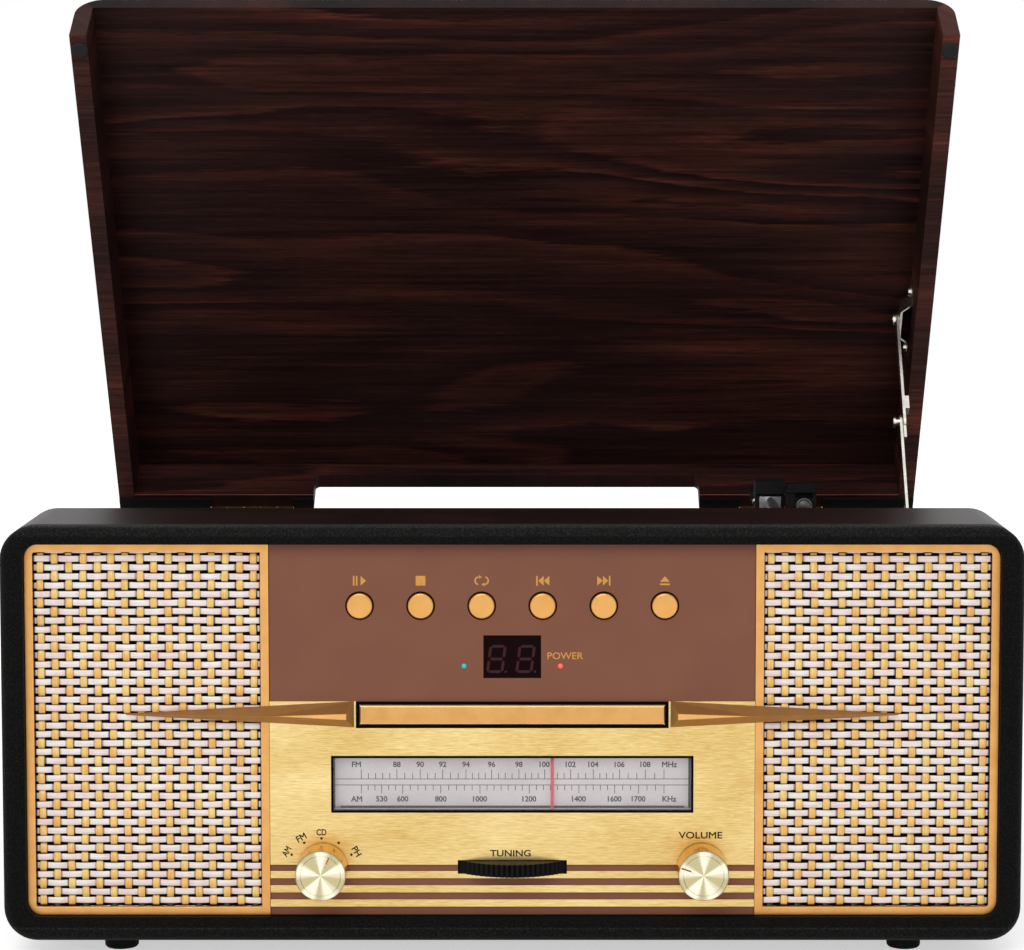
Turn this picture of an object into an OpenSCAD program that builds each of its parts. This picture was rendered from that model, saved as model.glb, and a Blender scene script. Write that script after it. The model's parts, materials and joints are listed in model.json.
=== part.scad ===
// Table-top stereo music centre: a wooden cabinet with a record deck under a lid, a disc
// drawer and a radio. The front faces -Y, Z is up, sizes are in millimetres.

/* [Cabinet] */
// Width of the cabinet and of the lid
cab_w = 480; // [476:1:484]
// Depth of the cabinet behind the plane of the front frame
cab_d = 406; // [400:1:412]
// Height of the cabinet's front part without its feet
body_h = 197; // [196:1:200]
// Height of the feet
foot_h = 8; // [6:1:12]
// Thickness of the cabinet's boards
board_t = 9.5; // [9:0.5:10]
// Outer radius of the cabinet's long edges
corner_r = 16; // [12:1:18]
// Depth of the full-height part in front of the lid
top_d = 78; // [76:1:80]
// Depth of the moulded front frame
frame_t = 12; // [12:0.5:13]
// Radius of the front frame's outer edge
frame_edge_r = 6; // [4:0.5:7]

/* [Lid] */
// Height of the lid from its rim to its top
lid_h = 39; // [38:1:40]
// Thickness of the lid's walls
lid_wall = 9.2; // [9:0.1:9.4]
// Thickness of the lid's top panel
lid_panel_t = 9.2; // [9:0.1:9.5]
// Gap that the bumpers keep between the lid's rim and the cabinet
rim_gap = 1.5; // [1.5:0.5:2]
// Angle between the open lid and the closed lid, in degrees
open_angle = 57.4; // [50:0.1:60]
// Width of the cable notch in the lid's rear wall
notch_w = 233; // [180:1:240]
// Depth of the cable notch from the rim
notch_h = 19; // [15:1:22]
// Distance of the notch's middle from the lid's middle
notch_x = -6; // [-20:1:20]

/* [Fascia] */
// Width of the centre panel
fascia_w = 228.4; // [228:0.1:229]
// Height of the brushed plate's top edge above the table
plate_top = 122.2; // [122:0.1:123]
// Height of the brushed plate's bottom edge above the table
plate_bottom = 44.4; // [44:0.1:45]
// Height of one stripe under the brushed plate
stripe_h = 3.4; // [3:0.1:3.5]
// Number of brushed stripes
stripe_count = 3; // [3:1:3]
// Spacing of the six buttons
button_pitch = 28.6; // [28:0.1:29]
// Radius of a button
button_r = 6.05; // [5.8:0.05:6.1]
// Height of the buttons above the table
button_z = 167.4; // [167:0.1:168]
// Travel of a button
button_travel = 1.2; // [1:0.1:1.5]
// Distance of each knob from the middle
knob_x = 89.3; // [88:0.1:90]
// Height of the knobs above the table
knob_z = 43; // [43:0.1:44]
// Radius of a knob
knob_r = 11.8; // [11:0.1:12]
// Distance from the front frame's plane to a knob's face
knob_out = 13; // [11:0.5:15]
// Radius of the tuning wheel
wheel_r = 36; // [35:0.5:37]
// Distance that the tuning wheel stands out of the front frame's plane
wheel_out = 5; // [4:0.5:6]

/* [Grilles] */
// Width of a grille frame's band
band_w = 3.8; // [3:0.1:4]
// Number of upright threads in a grille cloth
thread_count = 16; // [12:1:16]
// Number of cross strips in a grille cloth
strip_count = 16; // [12:1:16]

/* [Record deck] */
// Radius of the platter
platter_r = 140; // [130:1:142]
// Distance of the spindle from the middle
spindle_x = -25; // [-30:1:-22]
// Distance of the spindle behind the front frame's plane
spindle_y = 242; // [240:1:244]
// Radius of the spindle
spindle_r = 3.6; // [3.55:0.01:3.62]
// Distance of the tone arm's pivot from the middle
arm_x = 146.5; // [144:0.5:150]
// Distance of the tone arm's pivot behind the front frame's plane
arm_y = 330; // [328:1:334]
// Length from the pivot to the stylus
arm_len = 208; // [206:1:210]

/* [Disc drawer] */
// Width of the drawer's front
door_w = 143.6; // [143:0.1:144]
// Height of the drawer's front
door_h = 9.6; // [9.4:0.1:9.8]
// Height of the drawer's middle above the table
door_z = 115.9; // [115:0.1:116]
// Distance from the front frame's plane to the middle of the closed drawer's disc
disc_y = 76; // [74:1:80]

/* [Hidden] */
$fn = 64;
eps = 0.01;
top_z = foot_h + body_h;
rim_z = top_z - lid_h - rim_gap;
lid_rim_z = top_z - lid_h;
lid_len = cab_d - top_d - 0.6;
half_w = cab_w / 2;
inner_x = half_w - board_t;
floor_z = foot_h + board_t;

// Hinge line of the lid
pin_r = 1.2;
knuckle_r = 2.2;
hinge_y = cab_d + knuckle_r;
hinge_z = rim_z + rim_gap / 2;

// Places of the opening in the front frame
open_x = 228.6;
open_z0 = 20.2;
open_z1 = 196.8;
open_r = 7;
frame_fit = 0.2;

// Depths of the layers of the front, from the front plane
plate_y = 4.2;
panel_y = 5;
panel_back_y = 8;
baffle_y = frame_t;
baffle_t = 6;
cloth_y = 6;
cloth_t = 1.4;

// Openings of the front: dial, drawer surround, wheel slot, track display and lamps
dial_x = 85.2;
dial_z0 = 69.3;
dial_z1 = 96.3;
dial_back_y = 10.5;
dial_lip = 1;
bezel_x = 73.4;
bezel_z0 = 109.6;
bezel_z1 = 122;
slot_x = 25.7;
slot_back_x = 29;
slot_z0 = 40;
slot_z1 = 46.6;
display_x = 13.55;
display_z0 = 133.1;
display_z1 = 153.4;
lamp_x = 22.8;
lamp_z = 138.9;
lamp_r = 1.1;
bush_hole_r = 4.6;
knob_shaft_r = 3;
knob_shaft_end = 18;

// Speakers behind the grilles
speaker_x = 171.5;
speaker_z = 108.4;
speaker_hole_r = 45;

// Rail, pointer and wheel of the dial, and the boards behind the front
rail_r = 1.5;
rail_y = 17;
rail_z = 65;
rail_half = 82;
pointer_x = 18.8;
wheel_y = wheel_r - wheel_out;
wheel_z0 = 40.3;
wheel_h = 6;
drum_r = 22;
wheel_teeth = 90;
tuner_top = 35;
board_y = 20;
board_z = 24;
pcb_t = 1.6;

// Disc tray
tray_back = 152;
tray_front = 7.4;
tray_x = 68;
tray_z0 = 112.6;
tray_z1 = 117;

// Back of the cabinet with its sockets, and the feet
rear_panel_y = cab_d - 4;
rear_panel_t = 3;
jack_x = 96;
jack_z = 62;
aux_x = 60;
inlet_x = -150;
inlet_z = 56;
foot_x = 187.4;

// Hinges of the lid
hinge_x = 160;
hinge_len = 50;
leaf_h = 20;
leaf_t = 1.2;
knuckles = 5;

// Record deck heights
deck_top_z = 155;
deck_t = 3;
platter_top_z = 167.5;
mat_t = 2;
mat_hub_r = 9;
mat_top_z = platter_top_z + mat_t;
spindle_top_z = mat_top_z + 14;
belt_ring_r = 95;
pulley_r = 6;
pulley_dist = 119;
pulley_angle = 215;
belt_t = 0.8;
belt_gap = 0.08;
belt_z = 158.6;
belt_h = 4;
pulley_pos = [spindle_x, spindle_y] + pulley_dist * [cos(pulley_angle), sin(pulley_angle)];
bearing_r = 5;
bearing_fit = 0.05;

// Tone arm, its lift and its rest, and the speed selector
arm_axis_z = 180;
arm_tube_r = 3.2;
cross_pin_r = 1.5;
head_len = 42;
base_top_z = 172;
rest_y = 190;
lift_x0 = 155;
lift_x1 = 171.5;
lift_y = 305;
lift_d = 12;
lift_top = 192.6;
cue_pos = [188, 318];
cue_z = deck_top_z + 7;
cue_axle_r = 2;
speed_pos = [190, 118];
speed_travel = 14;

// Lid stay: pivots in the plane of the arms, as distance behind the front and height
stay_lid_t = 125;
stay_lid_h = 20;
stay_arm_w = 8;
stay_arm_t = 1.5;
stay_pin_r = 2;
stay_fit = 0.06;
stay_upper_x = 222.2;
stay_lower_x = 220;
stay_plate_t = 1.2;
stay_base = [281, 170];
stay_lid_closed = [cab_d - stay_lid_t, lid_rim_z + stay_lid_h];
function turned(p, a) = [
    hinge_y + (p[0] - hinge_y) * cos(a) - (p[1] - hinge_z) * sin(a),
    hinge_z + (p[0] - hinge_y) * sin(a) + (p[1] - hinge_z) * cos(a)
];
stay_lid_open = turned(stay_lid_closed, -open_angle);
stay_len = norm(stay_lid_open - stay_base) / 2;
stay_mid_open = (stay_lid_open + stay_base) / 2;
stay_gap = stay_lid_closed - stay_base;
stay_mid_closed = (stay_lid_closed + stay_base) / 2
    + [stay_gap[1], -stay_gap[0]] * sqrt(stay_len * stay_len - pow(norm(stay_gap) / 2, 2)) / norm(stay_gap);
function heading(a, b) = atan2(b[1] - a[1], b[0] - a[0]);
stay_lower_turn = heading(stay_base, stay_mid_closed) - heading(stay_base, stay_mid_open);
stay_upper_turn = heading(stay_lid_closed, stay_mid_closed)
    - heading(stay_lid_open, stay_mid_open) - open_angle;
echo(stay_lid_open = stay_lid_open, stay_lid_closed = stay_lid_closed);
echo(stay_mid_open = stay_mid_open, stay_mid_closed = stay_mid_closed, stay_len = stay_len);
echo(lower_ratio = stay_lower_turn / open_angle, upper_ratio = stay_upper_turn / open_angle);

// The whole model is centred front to back between the knobs and the open lid
rear_y = turned([cab_d, top_z], -open_angle)[0];
centre_y = (rear_y - knob_out) / 2;
echo(centre_y = centre_y, rear_y = rear_y, hinge_y = hinge_y - centre_y, hinge_z = hinge_z);

button_names = ["play", "stop", "repeat", "previous", "next", "eject"];

module place() {
    translate([0, -centre_y, 0]) children();
}

// Puts a piece drawn on the closed lid where the open lid holds it
module on_lid() {
    place()
        translate([0, hinge_y, hinge_z])
            rotate([-open_angle, 0, 0])
                translate([0, -hinge_y, -hinge_z]) children();
}

// Thickens an outline drawn in width and height from depth y backwards
module upright(y, d) {
    translate([0, y + d, 0]) rotate([90, 0, 0]) linear_extrude(d) children();
}

// Thickens an outline drawn in depth and height from x to the right
module sideways(x, d) {
    translate([x, 0, 0]) rotate([90, 0, 90]) linear_extrude(d) children();
}

// Turns a profile drawn as radius and distance from the front about a line along Y
module turned_along_y(x, z) {
    translate([x, 0, z]) rotate([-90, 0, 0]) rotate_extrude() children();
}

// Rectangle with round corners, from its lowest left to its highest right corner
module round_rect(x0, z0, x1, z1, r) {
    translate([x0 + r, z0]) square([x1 - x0 - 2 * r, z1 - z0]);
    translate([x0, z0 + r]) square([x1 - x0, z1 - z0 - 2 * r]);
    for (x = [x0 + r, x1 - r], z = [z0 + r, z1 - r]) translate([x, z]) circle(r);
}

module box(x0, y0, z0, x1, y1, z1) {
    translate([x0, y0, z0]) cube([x1 - x0, y1 - y0, z1 - z0]);
}

module cabinet_outline() {
    round_rect(-half_w, foot_h, half_w, top_z, corner_r);
}

// Clear space inside the cabinet's boards
module cavity_outline() {
    round_rect(-inner_x, floor_z, inner_x, top_z - board_t, corner_r - board_t);
}

// Boards of the cabinet with the step behind the full-height front part
module cabinet_shell() {
    rail_h = 30;
    batten = 8;
    lap = 1;
    color("#2b1612") place() {
        difference() {
            upright(frame_t, cab_d - frame_t) cabinet_outline();
            upright(frame_t - 1, cab_d - frame_t + 2) cavity_outline();
            box(-half_w - 1, top_d, rim_z, half_w + 1, cab_d + 1, top_z + 1);
        }
        box(-inner_x - lap, top_d - board_t, deck_top_z - deck_t,
            inner_x + lap, top_d, top_z - board_t + lap);
        box(-inner_x - lap, cab_d - board_t, rim_z - rail_h, inner_x + lap, cab_d, rim_z);
        for (s = [0, 1]) mirror([s, 0, 0]) {
            box(inner_x - batten, top_d - lap, deck_top_z - deck_t - batten,
                inner_x + lap, cab_d - board_t + lap, deck_top_z - deck_t);
            box(inner_x - batten, cab_d - board_t - 2, floor_z - lap,
                inner_x + lap, cab_d - 4, rim_z - rail_h + lap);
        }
        box(-inner_x + batten - lap, cab_d - board_t - 2, floor_z - lap,
            inner_x - batten + lap, cab_d - 4, floor_z + batten);
    }
}

// Moulded ring with a rounded outer edge round the whole front
module front_frame() {
    e = frame_edge_r;
    color("#141414") place() difference() {
        union() {
            upright(e, frame_t - e) cabinet_outline();
            upright(0, frame_t)
                round_rect(-half_w + e, foot_h + e, half_w - e, top_z - e, corner_r - e);
            for (z = [foot_h + e, top_z - e])
                translate([-half_w + corner_r, e, z])
                    rotate([0, 90, 0]) cylinder(r = e, h = cab_w - 2 * corner_r);
            for (s = [-1, 1])
                translate([s * (half_w - e), e, foot_h + corner_r])
                    cylinder(r = e, h = body_h - 2 * corner_r);
            for (s = [-1, 1], z = [foot_h + corner_r, top_z - corner_r])
                translate([s * (half_w - corner_r), e, z])
                    rotate([90, 0, 0]) rotate_extrude() translate([corner_r - e, 0]) circle(e);
        }
        upright(-1, frame_t + 2) round_rect(-open_x, open_z0, open_x, open_z1, open_r);
    }
}

module knob_holes(r, y0, y1) {
    for (s = [-1, 1])
        translate([s * knob_x, y0, knob_z]) rotate([-90, 0, 0]) cylinder(r = r, h = y1 - y0);
}

function button_x(i) = (i - (len(button_names) - 1) / 2) * button_pitch;

// Moulded centre panel with its flanges and the posts for the key board
module fascia_panel() {
    flange = 2;
    post_r = 3;
    half = fascia_w / 2 - frame_fit;
    z0 = open_z0 + frame_fit;
    z1 = open_z1 - frame_fit;
    color("#7e5042") place() {
        difference() {
            box(-half, panel_y, z0, half, baffle_y, z1);
            box(-half + flange, panel_back_y, z0 + flange, half - flange, baffle_y + 1, z1 - flange);
            for (i = [0 : len(button_names) - 1])
                translate([button_x(i), 0, button_z])
                    rotate([-90, 0, 0]) cylinder(r = button_r + 0.45, h = baffle_y);
            box(-display_x, 0, display_z0, display_x, baffle_y, display_z1);
            for (s = [-1, 1])
                translate([s * lamp_x, 0, lamp_z]) rotate([-90, 0, 0]) cylinder(r = lamp_r, h = baffle_y);
            box(-bezel_x, 0, bezel_z0, bezel_x, baffle_y, bezel_z1);
            box(-dial_x, 0, dial_z0, dial_x, baffle_y, dial_z1);
            box(-slot_x, 0, slot_z0, slot_x, baffle_y, slot_z1);
            box(-slot_back_x, panel_y + 0.6, slot_z0, slot_back_x, baffle_y, slot_z1);
            knob_holes(bush_hole_r, 0, baffle_y);
        }
        for (s = [-1, 1], z = [button_z - 12, button_z + 12])
            translate([s * 98, panel_back_y - 1, z])
                rotate([-90, 0, 0]) cylinder(r = post_r, h = board_y - panel_back_y + 1);
    }
}

// Brushed plate with the stripes below it
module gold_plate() {
    half = fascia_w / 2 - frame_fit;
    stripe_t = 0.6;
    color("#d9b25f") place() difference() {
        union() {
            box(-half, plate_y, plate_bottom, half, panel_y, plate_top);
            for (i = [0 : stripe_count - 1])
                box(-half, panel_y - stripe_t, plate_bottom - 2 * stripe_h * (i + 1) + 0.3,
                    half, panel_y, plate_bottom - stripe_h * (2 * i + 1) + 0.3);
        }
        box(-bezel_x, 0, bezel_z0, bezel_x, panel_y + 1, plate_top + 1);
        box(-dial_x, 0, dial_z0, dial_x, panel_y + 1, dial_z1);
        box(-slot_x, 0, slot_z0, slot_x, panel_y + 1, slot_z1);
        knob_holes(bush_hole_r, 0, panel_y + 1);
    }
}

// Board that carries the speakers and the whole front
module speaker_baffle() {
    cut_x = 106;
    color("#1c1c1c") place() difference() {
        upright(baffle_y, baffle_t) cavity_outline();
        box(-cut_x, 0, floor_z + 8, cut_x, baffle_y + baffle_t + 1, top_z - board_t - 6);
        for (s = [-1, 1])
            translate([s * speaker_x, 0, speaker_z])
                rotate([-90, 0, 0]) cylinder(r = speaker_hole_r, h = 2 * baffle_y);
    }
}

// Outline of one grille between the centre panel and the front frame, for the right side
module grille_outline(inset, r = open_r - frame_fit) {
    x0 = fascia_w / 2 + inset;
    x1 = open_x - frame_fit - inset;
    z0 = open_z0 + frame_fit + inset;
    z1 = open_z1 - frame_fit - inset;
    translate([x0, z0]) square([x1 - r - x0, z1 - z0]);
    translate([x1 - r, z0 + r]) square([r, z1 - z0 - 2 * r]);
    for (z = [z0 + r, z1 - r]) translate([x1 - r, z]) circle(r);
}

// Frame with a front lip and a rebate that holds the cloth, for the right side
module grille_frame() {
    shell = 1.6;
    inner_r = 1.3;
    color("#e0a85a") place() difference() {
        upright(plate_y, baffle_y - plate_y) grille_outline(0);
        upright(plate_y - 1, baffle_y) grille_outline(band_w, inner_r);
        upright(cloth_y, baffle_y) grille_outline(shell, open_r - frame_fit - shell);
    }
}

// Woven cloth as a flat net of threads and strips, for the right side
module grille_cloth() {
    x0 = fascia_w / 2 + band_w;
    x1 = open_x - frame_fit - band_w;
    z0 = open_z0 + frame_fit + band_w;
    z1 = open_z1 - frame_fit - band_w;
    pitch_x = (x1 - x0) / thread_count;
    pitch_z = (z1 - z0) / strip_count;
    thread_w = 3.3;
    strip_w = 6;
    hole_w = pitch_x - thread_w;
    hole_h = pitch_z - strip_w;
    edge = 1.8;
    color("#c9a36a") place() difference() {
        upright(cloth_y, cloth_t) grille_outline(edge, open_r - frame_fit - edge);
        for (i = [0 : thread_count - 1], j = [0 : strip_count - 1])
            box(x0 + (i + 0.5) * pitch_x - hole_w / 2, 0, z0 + (j + 0.5) * pitch_z - hole_h / 2,
                x0 + (i + 0.5) * pitch_x + hole_w / 2, baffle_y, z0 + (j + 0.5) * pitch_z + hole_h / 2);
    }
}

// Faceted spear that runs from the disc drawer out over the grille, for the right side
module wing() {
    root_x = 74.3;
    tip_x = 181.2;
    face_x = 77.5;
    split_x = 113;
    root_h = 12.4;
    tip_h = 0.8;
    face_h = 3;
    depth = 7;
    tip_depth = 1;
    z = 116.1;
    back = plate_y;
    ridge = back - tip_depth - (depth - tip_depth) * (tip_x - split_x) / (tip_x - face_x);
    color("#b07a34") place() polyhedron(
        points = [
            [root_x, back, z - root_h / 2], [root_x, back, z + root_h / 2],
            [tip_x, back, z + tip_h / 2], [tip_x, back, z - tip_h / 2],
            [face_x, back - depth, z - face_h / 2], [face_x, back - depth, z + face_h / 2],
            [split_x, ridge, z], [tip_x, back - tip_depth, z]
        ],
        faces = [
            [0, 3, 2], [0, 2, 1], [0, 1, 5, 4], [4, 5, 6], [1, 2, 7], [1, 7, 6], [1, 6, 5],
            [0, 4, 6], [0, 6, 7], [0, 7, 3], [3, 7, 2]
        ]
    );
}

// Black surrounds of the disc drawer and of the dial
module fascia_bezels() {
    door_fit_x = 0.3;
    door_fit_z = 0.2;
    color("#0c0c0c") place() {
        difference() {
            box(-bezel_x, plate_y - 0.5, bezel_z0, bezel_x, baffle_y, bezel_z1);
            box(-door_w / 2 - door_fit_x, 0, door_z - door_h / 2 - door_fit_z,
                door_w / 2 + door_fit_x, baffle_y + 1, door_z + door_h / 2 + door_fit_z);
        }
        difference() {
            box(-dial_x, plate_y - 0.4, dial_z0, dial_x, dial_back_y, dial_z1);
            box(-dial_x + dial_lip, 0, dial_z0 + dial_lip,
                dial_x - dial_lip, dial_back_y + 1, dial_z1 - dial_lip);
        }
    }
}

// Dark red filter in front of the track display
module display_window() {
    gap = 0.1;
    rim = 2;
    color("#3a0606") place() {
        box(-display_x + gap, panel_y + 0.3, display_z0 + gap,
            display_x - gap, panel_back_y, display_z1 - gap);
        box(-display_x - rim, panel_back_y, display_z0 - rim,
            display_x + rim, panel_back_y + 1, display_z1 + rim);
    }
}

// Clear lens of the dial
module dial_window() {
    color("#ffffff", 0.3) place()
        box(-dial_x + dial_lip, plate_y + 0.2, dial_z0 + dial_lip, dial_x - dial_lip, panel_y + 0.4,
            dial_z1 - dial_lip);
}

// Printed dial plate with the rail of its pointer behind it
module dial_plate() {
    foot_gap = 1.2;
    color("#d8d6d0") place() {
        difference() {
            box(-dial_x + dial_lip, dial_back_y - 1, dial_z0 + dial_lip + foot_gap,
                dial_x - dial_lip, dial_back_y, dial_z1 - dial_lip);
            for (s = [-1, 1])
                box(s * dial_x - 3, 0, dial_z0, s * dial_x + 3, baffle_y, dial_z0 + dial_lip + foot_gap);
        }
        for (s = [-1, 1])
            box(s * (rail_half + 0.6) - 1.2, dial_back_y, rail_z - 3, s * (rail_half + 0.6) + 1.2,
                rail_y + 3, dial_z1 - 4);
        translate([-rail_half, rail_y, rail_z]) rotate([0, 90, 0]) cylinder(r = rail_r, h = 2 * rail_half);
    }
}

// Pointer with the carriage that slides on the rail behind the dial
module dial_pointer() {
    x0 = pointer_x - 0.7;
    x1 = pointer_x + 0.7;
    needle_y = 7;
    needle_t = 1;
    foot_z = dial_z0 + dial_lip + 0.2;
    step_h = 0.8;
    stem_y = dial_back_y + 1.1;
    stem_t = 0.9;
    carriage = 4.5;
    carriage_h = 3.5;
    rail_fit = 0.06;
    color("#d0202c") place() {
        box(x0, needle_y, foot_z, x1, needle_y + needle_t, dial_z1 - dial_lip - 0.3);
        box(x0, needle_y, foot_z, x1, stem_y + stem_t, foot_z + step_h);
        box(x0, stem_y, rail_z - 1, x1, stem_y + stem_t, foot_z + step_h);
        difference() {
            box(pointer_x - carriage, stem_y + stem_t - 0.3, rail_z - carriage_h,
                pointer_x + carriage, rail_y + 3, rail_z + carriage_h);
            translate([pointer_x - 2 * carriage, rail_y, rail_z])
                rotate([0, 90, 0]) cylinder(r = rail_r + rail_fit, h = 4 * carriage);
        }
    }
}

// Knurled wheel with its cord drum and its shaft
module tuning_wheel() {
    shaft_r = 3;
    notch = 0.9;
    hole_r = 6;
    hole_ring_r = 18;
    hub_r = 9;
    hub_h = 3;
    cord_h = 3;
    cord_d = 0.6;
    color("#161616") place() translate([0, wheel_y, 0]) {
        translate([0, 0, wheel_z0]) linear_extrude(wheel_h) difference() {
            circle(wheel_r);
            for (i = [0 : wheel_teeth - 1])
                rotate(i * 360 / wheel_teeth) translate([wheel_r, 0]) rotate(45) square(notch, center = true);
            for (i = [0 : 5]) rotate(i * 60) translate([hole_ring_r, 0]) circle(hole_r);
        }
        translate([0, 0, wheel_z0 - hub_h]) cylinder(r = hub_r, h = hub_h + eps);
        translate([0, 0, wheel_z0 + wheel_h]) cylinder(r = drum_r - cord_d, h = cord_h);
        translate([0, 0, wheel_z0 + wheel_h + cord_h]) cylinder(r = drum_r, h = 1);
        translate([0, 0, tuner_top - 8]) cylinder(r = shaft_r, h = wheel_z0 - tuner_top + 8);
    }
}

// Main board with the tuning capacitor, the coils and the heat sink, and the key board
module circuit_boards() {
    half = 95;
    y0 = 24;
    y1 = 190;
    pillar_x = half - 10;
    pillar_ys = [y0 + 10, y1 - 10];
    tuner_half = 14;
    part_z = board_z + pcb_t;
    sink_x = 40;
    sink_y = 150;
    sink_h = 30;
    fins = 8;
    fin_pitch = 5;
    fin_t = 2;
    // Round parts of the board: place, radius and height
    cans = [[-70, 150, 9, 28], [-48, 150, 9, 28], [-70, 90, 5, 12], [-54, 96, 5, 12], [64, 96, 6, 14]];
    coils = 4;
    coil_pitch = 12;
    coil_w = 8;
    key_half = 104;
    key_z0 = 152;
    key_z1 = 184;
    switch_half = 3;
    color("#2f6b3a") place() {
        difference() {
            box(-half, y0, board_z, half, y1, part_z);
            for (s = [-1, 1], y = pillar_ys)
                translate([s * pillar_x, y, 0]) cylinder(r = 1.7, h = board_z + 10);
        }
        for (s = [-1, 1], y = pillar_ys) translate([s * pillar_x, y, floor_z]) difference() {
            cylinder(r = 3.5, h = board_z - floor_z);
            cylinder(r = 1.4, h = board_z);
        }
        difference() {
            box(-tuner_half, wheel_y - tuner_half, part_z, tuner_half, wheel_y + tuner_half, tuner_top);
            translate([0, wheel_y, board_z]) cylinder(r = 3.06, h = 20);
        }
        for (i = [0 : fins - 1])
            box(sink_x + i * fin_pitch, sink_y, part_z,
                sink_x + i * fin_pitch + fin_t, sink_y + 32, board_z + sink_h);
        box(sink_x, sink_y - 4, part_z,
            sink_x + (fins - 1) * fin_pitch + fin_t, sink_y + eps, board_z + sink_h);
        for (c = cans) translate([c[0], c[1], part_z]) cylinder(r = c[2], h = c[3]);
        for (i = [0 : coils - 1])
            box(-20 + i * coil_pitch, 84, part_z, -20 + i * coil_pitch + coil_w, 84 + coil_w, board_z + 12);
        box(-20, 116, part_z, 12, 128, board_z + 5);
        difference() {
            box(-key_half, board_y, key_z0, key_half, board_y + pcb_t, key_z1);
            for (x = [-30, 14]) box(x, board_y - 1, key_z1 - 3, x + 14, board_y + 3, key_z1 + 1);
        }
        for (i = [0 : len(button_names) - 1])
            box(button_x(i) - switch_half, board_y - 4.5, button_z - switch_half,
                button_x(i) + switch_half, board_y, button_z + switch_half);
        box(-display_x + 1.2, panel_back_y + 1, display_z0 + 1, display_x - 1.2, board_y, display_z1 - 1);
        box(-display_x - 3, board_y, display_z0 - 2, display_x + 3, board_y + pcb_t, 153);
    }
}

// Profile of a knob: radius against distance from the front plane
module knob_profile() {
    chamfer = 0.7;
    dish = 0.5;
    rim = 2.2;
    skirt = plate_y - 0.6;
    hollow_r = 8;
    hollow_d = 8;
    boss_r = 5;
    polygon([
        [0, -knob_out + dish], [knob_r - rim - 0.4, -knob_out + dish], [knob_r - rim, -knob_out],
        [knob_r - chamfer, -knob_out], [knob_r, -knob_out + chamfer], [knob_r, skirt - 0.6],
        [knob_r - 0.5, skirt], [hollow_r, skirt], [hollow_r, plate_y - hollow_d],
        [boss_r, plate_y - hollow_d], [boss_r, skirt], [knob_shaft_r, skirt],
        [knob_shaft_r, knob_shaft_end], [0, knob_shaft_end]
    ]);
}

// Turned metal knob with its pointer groove and its shaft
module knob(x, angle) {
    color("#dcd2b4") place() difference() {
        turned_along_y(x, knob_z) knob_profile();
        translate([x, 0, knob_z]) rotate([0, angle, 0])
            box(-0.45, -knob_out - 1, 4.5, 0.45, -knob_out + 0.9, knob_r + 1);
    }
}

// Rotary switch and volume control, each with the bush that its knob turns in
module knob_controls() {
    half = 13;
    bush_r = 4.5;
    bush_l = 8;
    pin_pitch = 5;
    pin_half = 0.6;
    pin_l = 4.4;
    bore_r = knob_shaft_r + 0.06;
    color("#8f9296") place() for (s = [-1, 1]) translate([s * knob_x, 0, knob_z]) difference() {
        union() {
            box(-half, panel_back_y, -half, half, board_y, half);
            translate([0, plate_y + 0.3, 0]) rotate([-90, 0, 0]) cylinder(r = bush_r, h = bush_l);
            for (i = [-1, 0, 1])
                box(i * pin_pitch - pin_half, board_y - 2, -half - pin_l,
                    i * pin_pitch + pin_half, board_y - 1, -half + 1);
        }
        rotate([-90, 0, 0]) cylinder(r = bore_r, h = knob_shaft_end + 0.5);
    }
}

// Push button with the collar that holds it behind the panel
module button(i) {
    face_y = 3.4;
    edge = 1;
    color("#dfae5c") place() turned_along_y(button_x(i), button_z) {
        intersection() {
            union() {
                translate([0, face_y + edge]) square([button_r, panel_back_y - face_y - edge + eps]);
                translate([0, face_y]) square([button_r - edge, edge + eps]);
                translate([button_r - edge, face_y + edge]) circle(edge);
            }
            square([button_r, panel_back_y + eps]);
        }
        translate([0, panel_back_y]) square([button_r + 1.5, 1.5]);
        translate([0, panel_back_y]) square([2, 5.5]);
    }
}

// Front of the disc drawer with its bevelled edge
module cd_door() {
    bevel = 0.8;
    face = 3.2;
    color("#d7a456") place() {
        upright(face + bevel, 3.4)
            translate([-door_w / 2, door_z - door_h / 2]) square([door_w, door_h]);
        hull() {
            upright(face + bevel - eps, eps)
                translate([-door_w / 2, door_z - door_h / 2]) square([door_w, door_h]);
            upright(face, eps)
                translate([-door_w / 2 + bevel, door_z - door_h / 2 + bevel])
                    square([door_w - 2 * bevel, door_h - 2 * bevel]);
        }
    }
}

// Disc tray, open at the back so that the hub passes
module cd_tray() {
    disc_r = 60.8;
    disc_d = 1.8;
    single_r = 40.5;
    single_d = 2.6;
    slot_half = 17;
    runner_x = tray_x + 0.5;
    color("#1b1b1d") place() difference() {
        union() {
            box(-tray_x, tray_front, tray_z0, tray_x, tray_back, tray_z1);
            for (s = [-1, 1])
                box(s * runner_x - 1, tray_front + 12, tray_z0, s * runner_x + 1, tray_back, tray_z0 + 2);
        }
        translate([0, disc_y, tray_z1 - disc_d]) cylinder(r = disc_r, h = 5);
        translate([0, disc_y, tray_z1 - single_d]) cylinder(r = single_r, h = 5);
        translate([0, disc_y, tray_z0 - 1]) cylinder(r = slot_half, h = 10);
        box(-slot_half, disc_y, tray_z0 - 1, slot_half, tray_back + 1, tray_z1 + 1);
        for (s = [-1, 1], y = [20, tray_back - 20])
            translate([s * 56, y, tray_z0 - 1]) cylinder(r = 4, h = 10);
    }
}

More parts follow.
